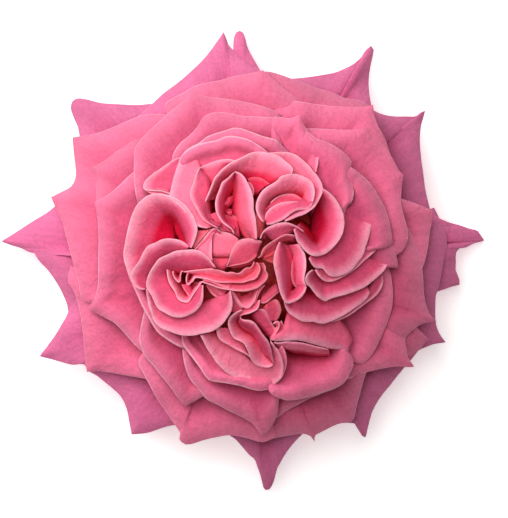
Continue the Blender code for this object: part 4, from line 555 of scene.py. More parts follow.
        (27, 4.6, 1.2)], marks=[0, 2, 4, 6, 8, 10, 11], top=-0.7, lip=0.3),
    "band_east_inner": Fold([(16, -1.5), (16.4, -2.5), (17.2, -3.3), (18.2, -3.75), (19.4, -3.7)],
        [(16.9, -1.5), (17.6, -2), (18.6, -2.4), (19.6, -2.8)], top=-1.4, depth=2, lip=0.2),
    "crescent_east": Fold([(13.9, 0.7), (14.5, -0.5), (15.4, -1.35), (16.9, -1.45), (17.7, -2.4),
        (18.6, -3.1), (20, -3.15), (21.5, -2.75), (22.9, -2.05), (23.9, -1), (24.9, 0.3), (25.9, 1.7),
        (26.4, 3.4), (26.9, 4.8), (27.3, 6.3), (27.7, 7.9), (28.3, 9.1), (28.3, 10.3), (27.9, 11.4)],
        [(14.5, 1.8, 1.7), (16.5, 2, 3), (18.8, 3.7, 3.25), (20.2, 5.5, 3.25), (20.8, 7.5, 3),
        (20.9, 9.5, 2.7), (21.8, 12, 2)], marks=[0, 3, 6, 9, 12, 15, 18], steep=2.0, lip=0.6),
    "loop_east": Fold([(17, 16), (18.2, 15.3), (19.4, 14.2), (20.4, 12.7), (21.2, 11.2), (21.6, 9.6),
        (21.65, 8), (21.3, 6.3), (20.6, 4.9), (19.6, 3.6), (18.4, 2.4), (17.1, 1.6), (15.6, 1.25),
        (14.3, 1.5), (13.2, 2.3), (12.1, 3.5), (11.2, 4.7), (10.9, 5.9), (10.6, 7)], [(16.6, 15, 2.55),
        (16.3, 12, 6.8), (15.5, 8.5, 8.5), (15.2, 6.2, 8.5), (15.4, 4.8, 8.5), (15, 4.6, 7.65),
        (14, 5.6, 6.8), (12.7, 6.8, 4.25), (11.2, 7.7, 1.7)], marks=[0, 3, 6, 8, 10, 12, 14, 16, 18],
        top=0.5, steep=[1.6, 1.6, 1.6, 2.4, 2.8, 2.4, 1.6], lip=0.7),
    "ribbon_east": Fold([(3.3, 5), (3.6, 6), (4, 6.7), (4.8, 7.4), (5.8, 7.9), (6.8, 8.3), (7.8, 8.5),
        (8.6, 8.6), (9.5, 8.5), (10.3, 8.2), (11, 7.9), (12, 7.3), (12.8, 6.7)], [(3.5, 5), (4.1, 6.2),
        (4.8, 5.9), (5.6, 5.65), (6.6, 5.7), (7.5, 5.9), (8.3, 6.15), (9, 6.5), (9.7, 6.85), (10.3, 7.2),
        (11, 7.3), (11.8, 6.9), (12.6, 6.3)], top=-0.2, depth=1.4, steep=1.4, lip=0.3),
    "ribbon_east_inner": Fold([(2.8, 0.9), (3.4, 1.4), (3.6, 2.2), (4.1, 3.1), (4.9, 3.8), (5.8, 4.45),
        (6.8, 5.05), (7.7, 5.6), (8.6, 6), (9.5, 6.05), (10.4, 5.9), (10.9, 5.7)], [(3.3, 0.9), (4, 1.4),
        (4.5, 2.2), (5.2, 2.8), (6, 3.4), (6.7, 4.1), (7.4, 4.8), (8.2, 5.1), (9, 5.4), (10, 5.4),
        (10.9, 5.3)], top=-0.9, depth=1.7, steep=1.5, lip=0.3, warm=0.25),
    "wedge_east": Fold([(3.9, 0.75), (4.6, 0.3), (5.4, 0), (6.4, -0.4)], [(4.2, 1.1), (5, 1.2), (5.8, 1.6),
        (6.5, 2.2)], top=-2.4, depth=1.8, lip=0.15, warm=0.9),
    "scoop_east": Fold([(7.5, 4.4), (6.9, 3.2), (6.4, 1.8), (6.2, 0.3), (6.35, -1.2), (6.7, -2.7),
        (7.05, -4.2), (7.4, -5.8), (7.9, -7.3), (8.6, -8.6), (9.3, -9), (10.3, -8.8), (11.4, -8.3),
        (12.3, -7.6), (13, -6.6), (13.4, -5.4)], [(8, 4.1, 1.2), (8.9, 2.5, 2.1), (9.6, 0.4, 2.73),
        (10, -2.5, 2.94), (9.8, -5.2, 2.94), (9.7, -6.6, 2.52), (9.9, -7, 2.1), (11, -6.7, 1.68),
        (11.6, -6, 1.47), (12.2, -4.8, 1.2)], marks=[0, 2, 4, 6, 8, 9, 10, 12, 13, 15], top=0.8,
        steep=[2.4, 2.6, 2.6, 2, 1.6], lip=0.6),
    "scoop_east_right": Fold([(13.4, -5.2), (13, -4.3), (12.95, -3.2), (13.15, -2), (13.3, -0.8),
        (13.25, 0.5), (13, 1.8), (12.4, 2.8), (11.6, 3.9)], [(12, -5.2, 1.26), (11.5, -3.6, 2.1),
        (11.1, -1.4, 2.73), (10.8, 1, 2.94), (10.5, 3.8, 2.94)], marks=[0, 2, 4, 6, 8], top=0.2, steep=2.4,
        lip=0.5),
    "scoop_east_inner": Fold([(10.3, 0.3), (10.1, -1.2), (10.05, -2.7), (10.2, -4), (10.6, -5),
        (11.2, -5.5), (11.8, -5.4)], [(10.9, 0), (10.9, -1.3), (10.95, -2.5), (11.1, -3.5), (11.3, -4.3),
        (11.5, -4.8), (11.8, -5)], top=-2.6, depth=2.8, lip=0.25),
    "crown": Fold([(-8.7, 13), (-8.4, 14), (-7.9, 15.2), (-7.4, 16.4), (-7, 17.5), (-6.6, 18.4),
        (-5.9, 19.2), (-5, 20.2), (-4, 21), (-3, 21.7), (-1.8, 22.3), (-0.5, 22.9), (0.8, 23.6), (2.2, 24),
        (3.6, 24.05), (5, 23.8), (6.4, 23.5), (7.6, 23), (8.6, 22.2), (9.4, 21.5), (10.1, 20.9),
        (10.5, 20.1), (10.2, 19.3)], [(-7.6, 13.4, 2.88), (-6.2, 15.6, 4.32), (-4.6, 17.8, 5.04),
        (-2.4, 19, 5.76), (0, 18.4, 6.48), (3, 17.6, 6.48), (5.6, 17.2, 5.76), (8, 18.2, 4.32),
        (9.8, 18.9, 2.16)], marks=[0, 3, 6, 9, 12, 15, 18, 20, 22], lip=0.6),
    "crown_left": Fold([(-10, 20.5), (-9, 21), (-7.8, 21.5), (-6.5, 22), (-5, 22.35), (-3.6, 22.45),
        (-2.2, 22.2), (-1, 22.4)], [(-9.6, 20), (-8.7, 18.5), (-7.6, 17.2), (-6.6, 17.6), (-5.2, 19.2),
        (-4, 20.2), (-2.8, 21.2), (-1, 22)], top=-1, depth=4.2, steep=1.5, lip=0.4),
    "cup_north": Fold([(0.7, 18.1), (1.5, 18.45), (2.5, 18.5), (3.5, 18.3), (4.3, 17.9), (4.9, 17.4),
        (5.5, 17)], [(1.2, 16.6), (2, 15.6), (2.7, 15.3), (3.4, 15.8), (4.4, 16.5)], top=-4.5, depth=4.5,
        lip=0.2),
    "curl_north": Fold([(0.6, 17.5), (1.3, 17.1), (1.8, 16.4), (2, 15.5), (1.9, 14.5)], [(0.4, 17),
        (0.9, 16.2), (1.2, 15), (1.2, 14)], top=-2.5, depth=2.5, lip=0.2),
    "tall_north_left": Fold([(-2.2, 19.7), (-2.8, 19.2), (-3.5, 18.5), (-4.3, 17.9), (-5, 17.3),
        (-5.3, 16.5), (-5.6, 15.6), (-6.1, 14.4), (-6.4, 13.2), (-6.4, 12), (-6.2, 10.8), (-5.7, 9.7),
        (-5, 8.7), (-4.1, 7.9), (-3.2, 7.3), (-2.7, 6.8), (-2.3, 6)], [(-2.3, 19, 2.25), (-2.7, 17.8, 3),
        (-3.3, 16.3, 3.75), (-4.1, 14.6, 4.5), (-4.3, 12.6, 4.88), (-4.5, 10.6, 4.5), (-4.2, 9, 3.75),
        (-3.2, 7.9, 3), (-2.2, 6.6, 2.25)], marks=[0, 2, 4, 6, 8, 10, 12, 14, 16], top=0.4, steep=2.4,
        lip=0.4),
    "tall_north_right": Fold([(-2.2, 19.7), (-1.4, 19.5), (-0.7, 19.1), (0, 18.3), (0.6, 17.2), (1.1, 16.2),
        (1.5, 15.2), (1.8, 13.9), (1.9, 12.6), (1.9, 11.3), (2.2, 10.2), (2.4, 9), (2.5, 7.6), (2.6, 6.2),
        (2.6, 5)], [(-2.1, 19.2, 1.95), (-2, 17.8, 3.25), (-1.9, 16, 4.23), (-1.9, 13.4, 4.55),
        (-1.9, 11, 4.55), (-1.6, 9.2, 4.23), (-0.6, 7.8, 3.9), (0.4, 6.4, 3.58), (1.4, 5, 3.25)],
        marks=[0, 2, 4, 6, 8, 10, 11, 12, 14], top=0.2, steep=1.9, lip=0.4, warm=0.1),
    "lens_north": Fold([(-4.2, 11.1), (-3.5, 11.5), (-2.8, 11.35)], [(-4, 10.9), (-3.4, 10.8),
        (-2.8, 10.9)], top=-4.5, depth=2.7, lip=0.15, warm=0.2),
    "curl_north_inner": Fold([(-2.75, 14.4), (-2.7, 13.5), (-3, 12.6), (-3.6, 12.1), (-4.3, 12)],
        [(-3.2, 14.2), (-3.3, 13.3), (-3.7, 12.7), (-4.4, 12.5)], top=-4.5, depth=3.25, lip=0.15),
    "floor_north": Fold([(-4.6, 10.1), (-3.6, 10.3), (-2.5, 10.2), (-1.7, 9.6)], [(-4.2, 8.4), (-3.2, 7.3),
        (-2.3, 6.5), (-1.2, 6.2)], top=-4, depth=3, lip=0.2),
    "wall_north": Fold([(-8.4, 10), (-7.4, 8.8), (-6.4, 8.1), (-5.6, 7.4), (-5.1, 6.7)], [(-6.3, 10.8),
        (-5.6, 9.4), (-4.9, 8.5), (-4, 7.4), (-2.8, 6.4)], top=-3, depth=2.5, lip=0.2),
    "flame_north": Fold([(-9.9, 20.5), (-10.5, 19.4), (-10.95, 18.2), (-11.3, 17), (-11.75, 15.8),
        (-11.95, 14.6), (-11.6, 13.5), (-11, 12.3), (-10.3, 11.1), (-9.7, 10), (-9, 9.1), (-8.2, 8.5),
        (-7.3, 8), (-6.4, 7.6), (-5.8, 7.4)], [(-9.7, 20.1, 1.2), (-9.3, 19.3, 1.25), (-8.8, 18.6, 1.5),
        (-8.4, 17.6, 2), (-8.4, 16, 2.25), (-8.5, 14.2, 2.5), (-8.5, 12.4, 2.5), (-8.3, 10.6, 2.25),
        (-7.7, 9, 1.75), (-6.6, 8, 1.25), (-5.7, 7.5, 1.2)], marks=[0, 1, 2, 3, 4, 5, 7, 9, 11, 13, 14],
        top=-0.2, steep=1.5, lip=0.3),
    "flame_northwest": Fold([(-8.3, 7.4), (-10.3, 7.8), (-12, 9.5), (-14, 12), (-16.4, 14), (-16.2, 15.5),
        (-15.8, 17.5), (-15.2, 19.5), (-14.6, 21.3), (-13.8, 22.8), (-12.9, 23.9), (-11.6, 24.5)],
        [(-7, 7.6, 1.65), (-8, 8.5, 1.87), (-9, 9.7, 1.98), (-10, 11.7, 2.09), (-11, 13.6, 2.09),
        (-11.2, 15, 1.87), (-10.8, 16.8, 1.76), (-10.4, 18.4, 1.65), (-10, 19.6, 1.43), (-10.1, 20.9, 1.2),
        (-10.8, 22.6, 1.2), (-11.4, 24.2, 1.2)], top=-0.2, steep=1.3, lip=0.2, roll=40),
    "lobe_northwest": Fold([(-13.8, 22.9), (-15, 22.6), (-16, 22.1), (-17, 21.4), (-18, 20.7), (-19, 20),
        (-20, 19.4), (-21, 18.5), (-21.8, 17.7), (-22.2, 16.8), (-22.2, 16.1), (-21.6, 15.7), (-20.4, 15.6),
        (-18.6, 15.5), (-17.2, 15.1), (-16.4, 14.9)], [(-14, 22.3, 1.2), (-14.8, 20.4, 1.25),
        (-15.4, 18.6, 2.25), (-15.9, 17, 3), (-16.2, 15.8, 3.25), (-16.1, 15.2, 2.5)],
        marks=[0, 3, 6, 9, 12, 15], top=-0.2, steep=1.25, lip=0.35),
    "lobe_northwest_under": Fold([(-21.8, 15.7), (-20.6, 15), (-19, 14.7), (-17.4, 14.5), (-16.2, 14.3)],
        [(-21.4, 15.9), (-19.8, 15.6), (-18, 15.3), (-16.4, 14.9)], top=-1.2, depth=1.4, lip=0.2),
    "wedge_northwest": Fold([(-10.8, 2.8), (-9.8, 4.1), (-8.8, 5.3), (-7.9, 6.4), (-7.1, 7.2), (-6.4, 7.4),
        (-5.8, 7.2), (-5.3, 6.6)], [(-10.5, 2.5), (-9.3, 3.3), (-8.3, 4.4), (-7.4, 5.5), (-6.8, 6.3),
        (-6.2, 6.6), (-5.8, 6.5), (-5.4, 6.2)], top=-1.4, depth=2.3, steep=1.3, lip=0.35, warm=0.15),
    "wedge_northwest_outer": Fold([(-11, 2.9), (-10, 4.2), (-9, 5.4), (-8.1, 6.5), (-7.4, 7.2)],
        [(-11.8, 4), (-11.2, 5.6), (-10.3, 6.4), (-9.2, 6.7), (-8.2, 7)], top=-1.5, depth=1.7, lip=0.1,
        warm=0.5),
    "spike_northwest": Fold([(-6.6, 6.5), (-7.05, 5.8), (-7.15, 4.5), (-7.15, 3), (-7.2, 1.5), (-7, 0.2)],
        [(-7, 6.3), (-7.9, 4.9), (-8.7, 4), (-9.4, 3.3), (-10, 2.8), (-10, 1.8)], top=-1.4, depth=1.8,
        lip=0.2),
    "petal_centre_northwest": Fold([(-6.9, 6.3), (-6, 6.8), (-5, 6.6), (-3.9, 6.4), (-2.9, 6.1),
        (-2.2, 5.6), (-1.3, 4.9)], [(-7.1, 2.2), (-6, 2), (-5, 2), (-4, 2), (-3.2, 2.1), (-2.6, 2.6),
        (-1.6, 4.1)], top=-2.4, depth=2.2, steep=1.5, lip=0.3),
    "petal_centre_west": Fold([(-7.1, 2), (-6.3, 2.4), (-5.5, 2.5), (-4.8, 2.5), (-4.3, 2.2), (-3.2, 2.15)],
        [(-7, 0.3), (-6.2, -0.5), (-5.4, -0.8), (-4.7, -0.8), (-4.2, -0.5), (-3.5, 0.6)], top=-3.6,
        depth=3.25, lip=0.25),
    "leaf_centre": Fold([(-4, -0.9), (-3.5, 0.4), (-3.1, 1.7), (-2.6, 2.9), (-1.9, 4.1), (-1, 4.8),
        (0.3, 5.1), (1.8, 5), (3.7, 4.5)], [(-3.7, -0.9), (-2.8, -0.6), (-2, -0.4), (-1, -0.2), (0, 0.1),
        (0.8, 0.4), (1.5, 0.9), (2.2, 1.6), (3, 2.8)], top=-1, depth=1.8, steep=1.4, lip=0.3),
    "leaf_centre_lip": Fold([(-4, -1.05), (-2.4, -0.8), (-0.7, -0.5), (0.7, -0.1), (1.8, 0.6), (2.75, 1.6)],
        [(-3.6, -0.7), (-2.3, -0.4), (-0.8, -0.05), (0.6, 0.45), (1.6, 1.1), (2.5, 2)], top=-1.6, depth=1.8,
        lip=0.25, warm=0.2),
    "cup_northeast": Fold([(4, 8.6), (3.1, 9.6), (2.5, 11), (2.4, 12.4), (2.8, 13.8), (3.5, 15.1),
        (4.5, 16.1), (5.8, 16.9), (7, 17.7), (7.8, 18.6), (9.1, 19.05), (10.5, 19.2), (11.9, 18.95),
        (13.2, 18.4), (14.2, 17.8), (14.9, 16.8), (15.2, 15.4), (15.1, 14.1), (14.8, 13.1)], [(4.3, 9, 2.1),
        (4.2, 11, 3.5), (5.5, 13, 4.9), (7, 14.2, 4.9), (8.5, 14.8, 4.55), (9.8, 15, 4.55),
        (11.3, 14.9, 4.9), (12.6, 14.6, 4.9), (12.9, 14, 4.2), (13.8, 13, 2.1)],
        marks=[0, 2, 4, 6, 8, 10, 12, 14, 16, 18], top=0.2, steep=[1.6, 1.8, 2, 2.4, 2.4, 2, 1.8], lip=0.5),
    "fold_northeast": Fold([(5.8, 13.1), (6.7, 13.9), (7.5, 14.4), (8.3, 14.7), (9.3, 14.85), (10.3, 14.85),
        (11.2, 14.6), (12, 14.1), (12.5, 13.6), (12.8, 13.2)], [(4.6, 11.6), (6, 12.2), (7.5, 12.7),
        (9, 12.9), (10.5, 12.9), (12.6, 12.9)], top=-3, depth=3.2, lip=0.25),
    "fold_northeast_middle": Fold([(4.3, 9.3), (4.6, 10.5), (5.3, 11.5), (6.3, 12.2), (7.5, 12.8),
        (9, 13.1), (10.5, 13.15), (12, 13.1), (12.9, 13)], [(4.6, 8.6), (5.2, 9.2), (6, 10), (6.9, 10.8),
        (8, 11.4), (9, 11.9), (10, 12.2), (10.8, 12.4), (11.5, 12.5)], top=-1.8, depth=2.1, lip=0.25),
    "fold_northeast_low": Fold([(4.7, 8.2), (5.8, 8.15), (7, 8.6), (8.2, 9.1), (9.3, 9.9), (10.3, 10.7),
        (11.4, 11.2), (12.6, 11.4), (13.6, 11.4), (14.3, 12), (14.9, 13)], [(4.6, 8.8), (5.5, 9.6),
        (6.5, 10.4), (7.6, 11.2), (8.6, 11.8), (9.7, 12.3), (10.8, 12.7), (11.8, 12.9), (12.7, 13),
        (13.6, 13), (14.5, 13.2)], top=-0.6, depth=1.7, lip=0.35),
    "stem_north": Fold([(2.5, 10.5), (2.4, 9.3), (2.5, 8), (2.6, 6.6), (2.6, 5.2)], [(3.6, 10), (3.6, 9),
        (3.2, 7.8), (3, 6.6), (2.9, 5.2)], top=-1.2, depth=1.4, lip=0.15, warm=0.7),
    "wrap_northeast": Fold([(5.2, 23.8), (6.8, 23.95), (8.5, 24), (10, 23.8), (11.4, 23.2), (12.7, 22.2),
        (13.9, 21.1), (14.8, 20), (15.7, 19), (16.4, 17.9), (16.9, 16.7), (16.95, 15.4), (16.5, 14.2),
        (15.9, 13.1), (15.2, 12), (14.1, 11.1), (12.8, 10.3), (11.4, 9.8), (10, 9.2), (8.6, 8.8)],
        [(6, 22.5, 1.8), (8.8, 21, 2.7), (10.4, 19.4, 3), (12, 18.4, 3), (13.8, 17, 3), (14.6, 15.3, 3),
        (14.4, 13.6, 3), (13.2, 12.2, 3), (11, 11, 2.76), (9, 9.6, 2.16)],
        marks=[0, 3, 5, 7, 9, 11, 13, 15, 17, 19], top=-0.4, lip=0.5),
    "sliver_northeast": Fold([(15.3, 26.4), (15.9, 25.5), (16.1, 24), (16.05, 22.5), (15.9, 21.2),
        (15.5, 19.6)], [(15, 26.2), (14.6, 25.2), (14.2, 23.6), (14.1, 22.2), (14.3, 21.2), (15, 20)],
        top=0.4, depth=1.4, steep=1.2, lip=0.2),
}


class Sheet:
    """A thin sheet's points in columns from root to lip, and what its material reads.

    across and along are the place on the blade in millimetres. share is 0 at the root, 1 at
    the rim and 2 at the lip's edge. depth is how far a point lies under the heart's dome or in a hollow; the
    material paints crimson shade from it.
    """

    def __init__(self, points, across, share, thickness, tone, depth=0.0, warm=0.0):
        strides = np.linalg.norm(np.diff(points, axis=1), axis=2)
        columns, rows = points.shape[:2]
        self.points = points
        self.thickness = np.tile(thickness, (columns, 1))
        self.values = {
            "across": np.repeat(np.array(across)[:, None], rows, axis=1),
            "along": np.concatenate([np.zeros((columns, 1)), np.cumsum(strides, axis=1)], axis=1),
            "share": np.tile(share, (columns, 1)),
            "tone": np.full((columns, rows), tone),
            "depth": np.full((columns, rows), depth),
            "warm": np.full((columns, rows), warm),
        }


def linear(hex_value):
    """An sRGB colour written as hex, turned to linear."""
    channels = [int(hex_value[i:i + 2], 16) / 255 for i in (0, 2, 4)]
    return (*[c / 12.92 if c <= 0.04045 else ((c + 0.055) / 1.055) ** 2.4 for c in channels], 1.0)


def between(points, share):
    """A point on the smooth curve through the points, at a share of the way along them."""
    count = len(points) - 1
    place = min(max(share, 0.0), 1.0) * count
    index = min(int(place), count - 1)
    t = place - index
    b, c = points[index], points[index + 1]
    a = points[index - 1] if index else b * 2 - c
    d = points[index + 2] if index + 2 <= count else c * 2 - b
    near = (c - a) * 0.5
    far = (d - b) * 0.5
    return (b * (2 * t**3 - 3 * t**2 + 1) + near * (t**3 - 2 * t**2 + t)
            + c * (3 * t**2 - 2 * t**3) + far * (t**3 - t**2))


def travel(points, steps):
    """The distance along the smooth curve at each of its even shares."""
    fine = [between(points, i / steps) for i in range(steps + 1)]
    return np.concatenate([[0.0], np.cumsum([(b - a).length for a, b in zip(fine, fine[1:])])])


def slanted(outward, angle):
    """The unit direction that goes outward and rises at an angle in radians."""
    return outward * math.cos(angle) + Vector((0, 0, 1)) * math.sin(angle)


def roll_lip(column, outward, angle, lip, roll):
    """Carries a column on over its rolled lip."""
    for _ in range(LIP_ROWS):
        angle -= roll / LIP_ROWS
        column.append(column[-1] + slanted(outward, angle) * lip * roll / LIP_ROWS)


def lip_taper(thickness, rows):
    """The blade's thickness at each row, thin at the lip's edge."""
    return [thickness] * rows + list(np.linspace(thickness, EDGE_THICKNESS, LIP_ROWS + 1)[1:])


def lip_shares(shares):
    return shares + [1.0 + (i + 1) / LIP_ROWS for i in range(LIP_ROWS)]


def own_tone(place):
    """How light a petal is, about 0 to 1, read from the noise at a place of its own."""
    return noise.noise(Vector(place)) * 0.8 + 0.5


def rim_stations(petal, step):
    """Points along a rim, each with its distance along it and from its nearest tip."""
    line = SURFACES[petal.layer]
    points = []
    for x, y, *extra in petal.rim:
        height = rise_between(line, math.hypot(x, y)) + petal.lift + sum(extra)
        points.append(Vector((x, y, max(height, LOWEST_RIM))))
    stations, distances, tip_places = [], [], []
    evenly = np.linspace(0, 1, RUN_STEPS + 1)
    travelled = 0.0
    marks = [0, *petal.tips, len(points) - 1]
    for first, last in zip(marks, marks[1:]):
        run = points[first:last + 1]
        along = travel(run, RUN_STEPS)
        pieces = max(3, round(along[-1] / step))
        for i in range(pieces):
            wanted = along[-1] * i / pieces
            stations.append(between(run, float(np.interp(wanted, along, evenly))))
            distances.append(travelled + wanted)
        travelled += along[-1]
        if last in petal.tips:
            tip_places.append(travelled)
    stations.append(points[-1])
    distances.append(travelled)
    from_tip = [min([abs(d - place) for place in tip_places], default=math.inf) for d in distances]
    return stations, distances, from_tip


def layered_column(petal, end, turn, shares):
    """A column that lies on the petal's layer, from its root at the bearing turn to its rim."""
    line = SURFACES[petal.layer]
    foot = Vector((line[0][0] * math.cos(turn), line[0][0] * math.sin(turn), 0))
    reach = math.hypot(end.x, end.y)
    change = end.z - rise_between(line, reach) - petal.lift
    column = []
    for t in shares:
        place = foot.lerp(Vector((end.x, end.y, 0)), t)
        height = rise_between(line, place.length) + petal.lift * min(1, t * 3) + change * t**3
        column.append(Vector((place.x, place.y, height)))
    slope = rise_between(line, reach) - rise_between(line, reach - 1)
    return column, math.atan(slope)


def hollow(x, y):
    """How far the hollows press the layers down at a place."""
    return sum(depth * np.exp(-((x - cx)**2 + (y - cy)**2) / radius**2)
               for cx, cy, radius, depth in HOLLOWS)


def dent(x, y):
    """The slow dents and hollows that lie across all layers at a place."""
    slow = noise.noise(Vector((x / SLOW_WIDTH, y / SLOW_WIDTH, 0.3)))
    quick = noise.noise(Vector((x / QUICK_WIDTH, y / QUICK_WIDTH, 7.9)))
    return SLOW_DENT * slow + QUICK_DENT * quick - hollow(x, y)


def crest(share):
    """A dip and a ridge across the outer half of a blade, so that its rim stands off what is below."""
    outer = max(0.0, (share - 0.5) / 0.5)
    return -LAYER_CREST * math.sin(2 * math.pi * outer) * outer + RIM_STAND * outer**2


def petal_sheet(petal, number, step, rows):
    """The sheet of a petal that lies on its layer, dented and waved, with a rolled lip."""
    rim, distances, from_tip = rim_stations(petal, step)
    bearings = np.unwrap([math.atan2(end.y, end.x) for end in rim])
    middle = (bearings.min() + bearings.max()) / 2
    shares = [(i / rows) ** 0.85 for i in range(rows + 1)]
    roll = math.radians(LAYER_ROLL)
    columns = []
    for end, bearing, distance, tip in zip(rim, bearings, distances, from_tip):
        to_end = min(distance, distances[-1] - distance)
        lip = LAYER_LIP * (1 - TIP_NARROWING * math.exp(-tip / TIP_REACH))
        lip *= END_LIP + (1 - END_LIP) * min(1.0, to_end / END_REACH)
        outward = Vector((end.x, end.y, 0)).normalized()
        turn = middle + (bearing - middle) * CLAW_GATHER
        inset = end - outward * lip * math.sin(roll) * LIP_INSET
        column, angle = layered_column(petal, inset, turn, shares)
        for point, t in zip(column, shares):
            # Each petal reads its own strip of the noise, so that no two wave alike.
            wave = noise.noise(Vector((distance * 0.10, number * 7.31, t * 1.7)))
            point.z += dent(point.x, point.y) + RIM_WAVE * t**2 * max(wave, WAVE_DIP) + crest(t)
        roll_lip(column, outward, angle, lip, roll)
        for point in column:
            point.z = max(point.z, LOWEST_EDGE + BLADE_THICKNESS / 2)
        columns.append([tuple(point) for point in column])
    points = np.array(columns)
    # The hollows' depth goes to the material, which paints crimson shade from it.
    return Sheet(points, distances, lip_shares(shares), lip_taper(BLADE_THICKNESS, rows + 1),
                 own_tone((number * 3.7, 1.3, 0.4)), hollow(points[:, :, 0], points[:, :, 1]))


def base_point(fold, place):
    """The base's point that belongs to a place among the edge's points."""
    count = len(fold.base) - 1
    marks = fold.marks or [(len(fold.edge) - 1) * index / count for index in range(count + 1)]
    points = [(*point, fold.depth)[:3] for point in fold.base]
    x, y, depth = [rise_between(list(zip(marks, values)), place) for values in zip(*points)]
    return Vector((x, y, dome(math.hypot(x, y)) - depth))


def fold_column(fold, number, foot, end, distance, to_end, steep, shares):
    """One column of a fold, from its hidden claw over its blade to its rolled lip's edge."""
    flat = Vector((end.x - foot.x, end.y - foot.y, 0))
    outward = flat.normalized()
    roll = math.radians(fold.roll) * FOLD_ROLL
    lip = FOLD_LIP * fold.lip * (FOLD_END_LIP + (1 - FOLD_END_LIP) * min(1.0, to_end / FOLD_END_REACH))
    inset = end - outward * min(lip * math.sin(roll), flat.length * MOST_INSET)
    # Out of sight, the claw goes on under its neighbour, down to the core or the collars.
    drop = min(claw_height(math.hypot(foot.x, foot.y)) - foot.z, -UNDERLAP)
    column = [foot - outward * (UNDERLAP - UNDERLAP_DRAW * drop) + Vector((0, 0, drop)),
              foot - outward * UNDERLAP * UNDERLAP_START - Vector((0, 0, UNDERLAP * UNDERLAP_START))]
    for t in shares:
        wave = noise.noise(Vector((distance * 0.22, number * 5.17, t * 1.3)))
        crease = noise.noise(Vector((distance * 0.7, number * 3.1, t * 2.5)))
        point = foot.lerp(inset, t)
        rise = 1 - (1 - t) ** steep
        hump = fold.hump * math.sin(math.pi * t) * t
        uneven = t * (FOLD_WAVE * wave + FOLD_CREASE * crease)
        point.z = foot.z + (inset.z - foot.z) * rise + hump + uneven
        column.append(point)
    last = column[-1] - column[-2]
    roll_lip(column, outward, math.atan2(last.z, math.hypot(last.x, last.y)), lip, roll)
    return [tuple(point) for point in column]


def fold_sheet(fold, number, step, rows):
    """The sheet of one fold, from its base up to its traced edge, with a small rolled lip."""
    edge = [Vector((x, y, dome(math.hypot(x, y)) + fold.top)) for x, y in fold.edge]
    along = travel(edge, EDGE_STEPS)
    evenly = np.linspace(0, 1, EDGE_STEPS + 1)
    pieces = max(6, round(along[-1] / step))
    steeps = fold.steep if isinstance(fold.steep, list) else [fold.steep]
    shares = [i / rows for i in range(rows + 1)]
    columns, distances = [], []
    for index in range(pieces + 1):
        distance = along[-1] * index / pieces
        share = float(np.interp(distance, along, evenly))
        steep = float(np.interp(share, np.linspace(0, 1, len(steeps)), steeps))
        foot = base_point(fold, share * (len(edge) - 1))
        to_end = min(distance, along[-1] - distance)
        end = between(edge, share)
        columns.append(fold_column(fold, number, foot, end, distance, to_end, steep, shares))
        distances.append(distance)
    points = np.array(columns)
    # Depth under the dome, faded outwards, sets the painted crimson shade.
    radius = np.hypot(points[:, :, 0], points[:, :, 1])
    inside = 1 - np.interp(radius, SHADE_REACH, (0, SHADE_LOSS))
    depth = (np.vectorize(dome)(radius) - points[:, :, 2]) * inside
    warm = fold.warm + CENTRE_WARMTH * np.exp(-(points[:, :, 0]**2 + points[:, :, 1]**2) / WARM_SQUARE)
    # The two hidden rows of the claw come before the blade's own.
    return Sheet(points, distances, lip_shares([0.0, 0.0] + shares), lip_taper(FOLD_THICKNESS, rows + 3),
                 own_tone((number * 2.3, 4.1, 0.7)), depth, warm)


def sheet_arrays(sheet):
    """The closed mesh of a sheet: its vertices and faces."""
    points = sheet.points
    normals = np.cross(np.gradient(points, axis=0), np.gradient(points, axis=1))
    normals /= np.maximum(np.linalg.norm(normals, axis=2, keepdims=True), 1e-9)
    columns, rows = points.shape[:2]
    half = sheet.thickness[:, :, None] / 2
    upper = (points + normals * half).reshape(-1, 3)
    lower = (points - normals * half).reshape(-1, 3)
    under = columns * rows
    i, j = np.meshgrid(np.arange(columns - 1), np.arange(rows - 1), indexing="ij")
    a = (i * rows + j).reshape(-1)
    b = a + rows
    border = [k * rows for k in range(columns)]
    border += [(columns - 1) * rows + k for k in range(1, rows)]
    border += [k * rows + rows - 1 for k in range(columns - 2, -1, -1)]
    border += [k for k in range(rows - 2, 0, -1)]
    border = np.array(border)
    following = np.roll(border, -1)
    faces = [np.stack([a, b, b + 1, a + 1], 1), np.stack([a + 1, b + 1, b, a], 1) + under,
             np.stack([border, border + under, following + under, following], 1)]
    return np.concatenate([upper, lower]), np.concatenate(faces)


def place_mesh(name, vertices, faces, material):
    """A smooth object from points in millimetres about the bloom's axis, its faces outwards."""
    mesh = bpy.data.meshes.new(name)
    mesh.from_pydata(((np.array(vertices) + (*AXIS, 0)) * MM).tolist(), [], faces)
    work = bmesh.new()
    work.from_mesh(mesh)
    bmesh.ops.recalc_face_normals(work, faces=work.faces)
    work.to_mesh(mesh)
    work.free()
    mesh.shade_smooth()
    mesh.materials.append(material)
    piece = bpy.data.objects.new(name, mesh)
    bpy.context.scene.collection.objects.link(piece)
    return piece


def stand_for(piece, solid):
    """Seats a piece in the frame: it rides on the bloom and replaces its solid."""
    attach(piece, "root")
    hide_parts(solid)


def make_sheets(name, sheets, material):
    """One object of many sheets, with the attributes that its material reads."""
    all_vertices, all_faces = [], []
    offset = 0
    for sheet in sheets:
        vertices, faces = sheet_arrays(sheet)
        all_vertices.append(vertices)
        all_faces.append(faces + offset)
        offset += len(vertices)
    piece = place_mesh(name, np.concatenate(all_vertices), np.concatenate(all_faces).tolist(), material)
    for label in sheets[0].values:
        both_sides = [np.tile(sheet.values[label].reshape(-1), 2) for sheet in sheets]
        attribute = piece.data.attributes.new(label, "FLOAT", "POINT")
        attribute.data.foreach_set("value", np.concatenate(both_sides).astype(np.float32))
    return piece


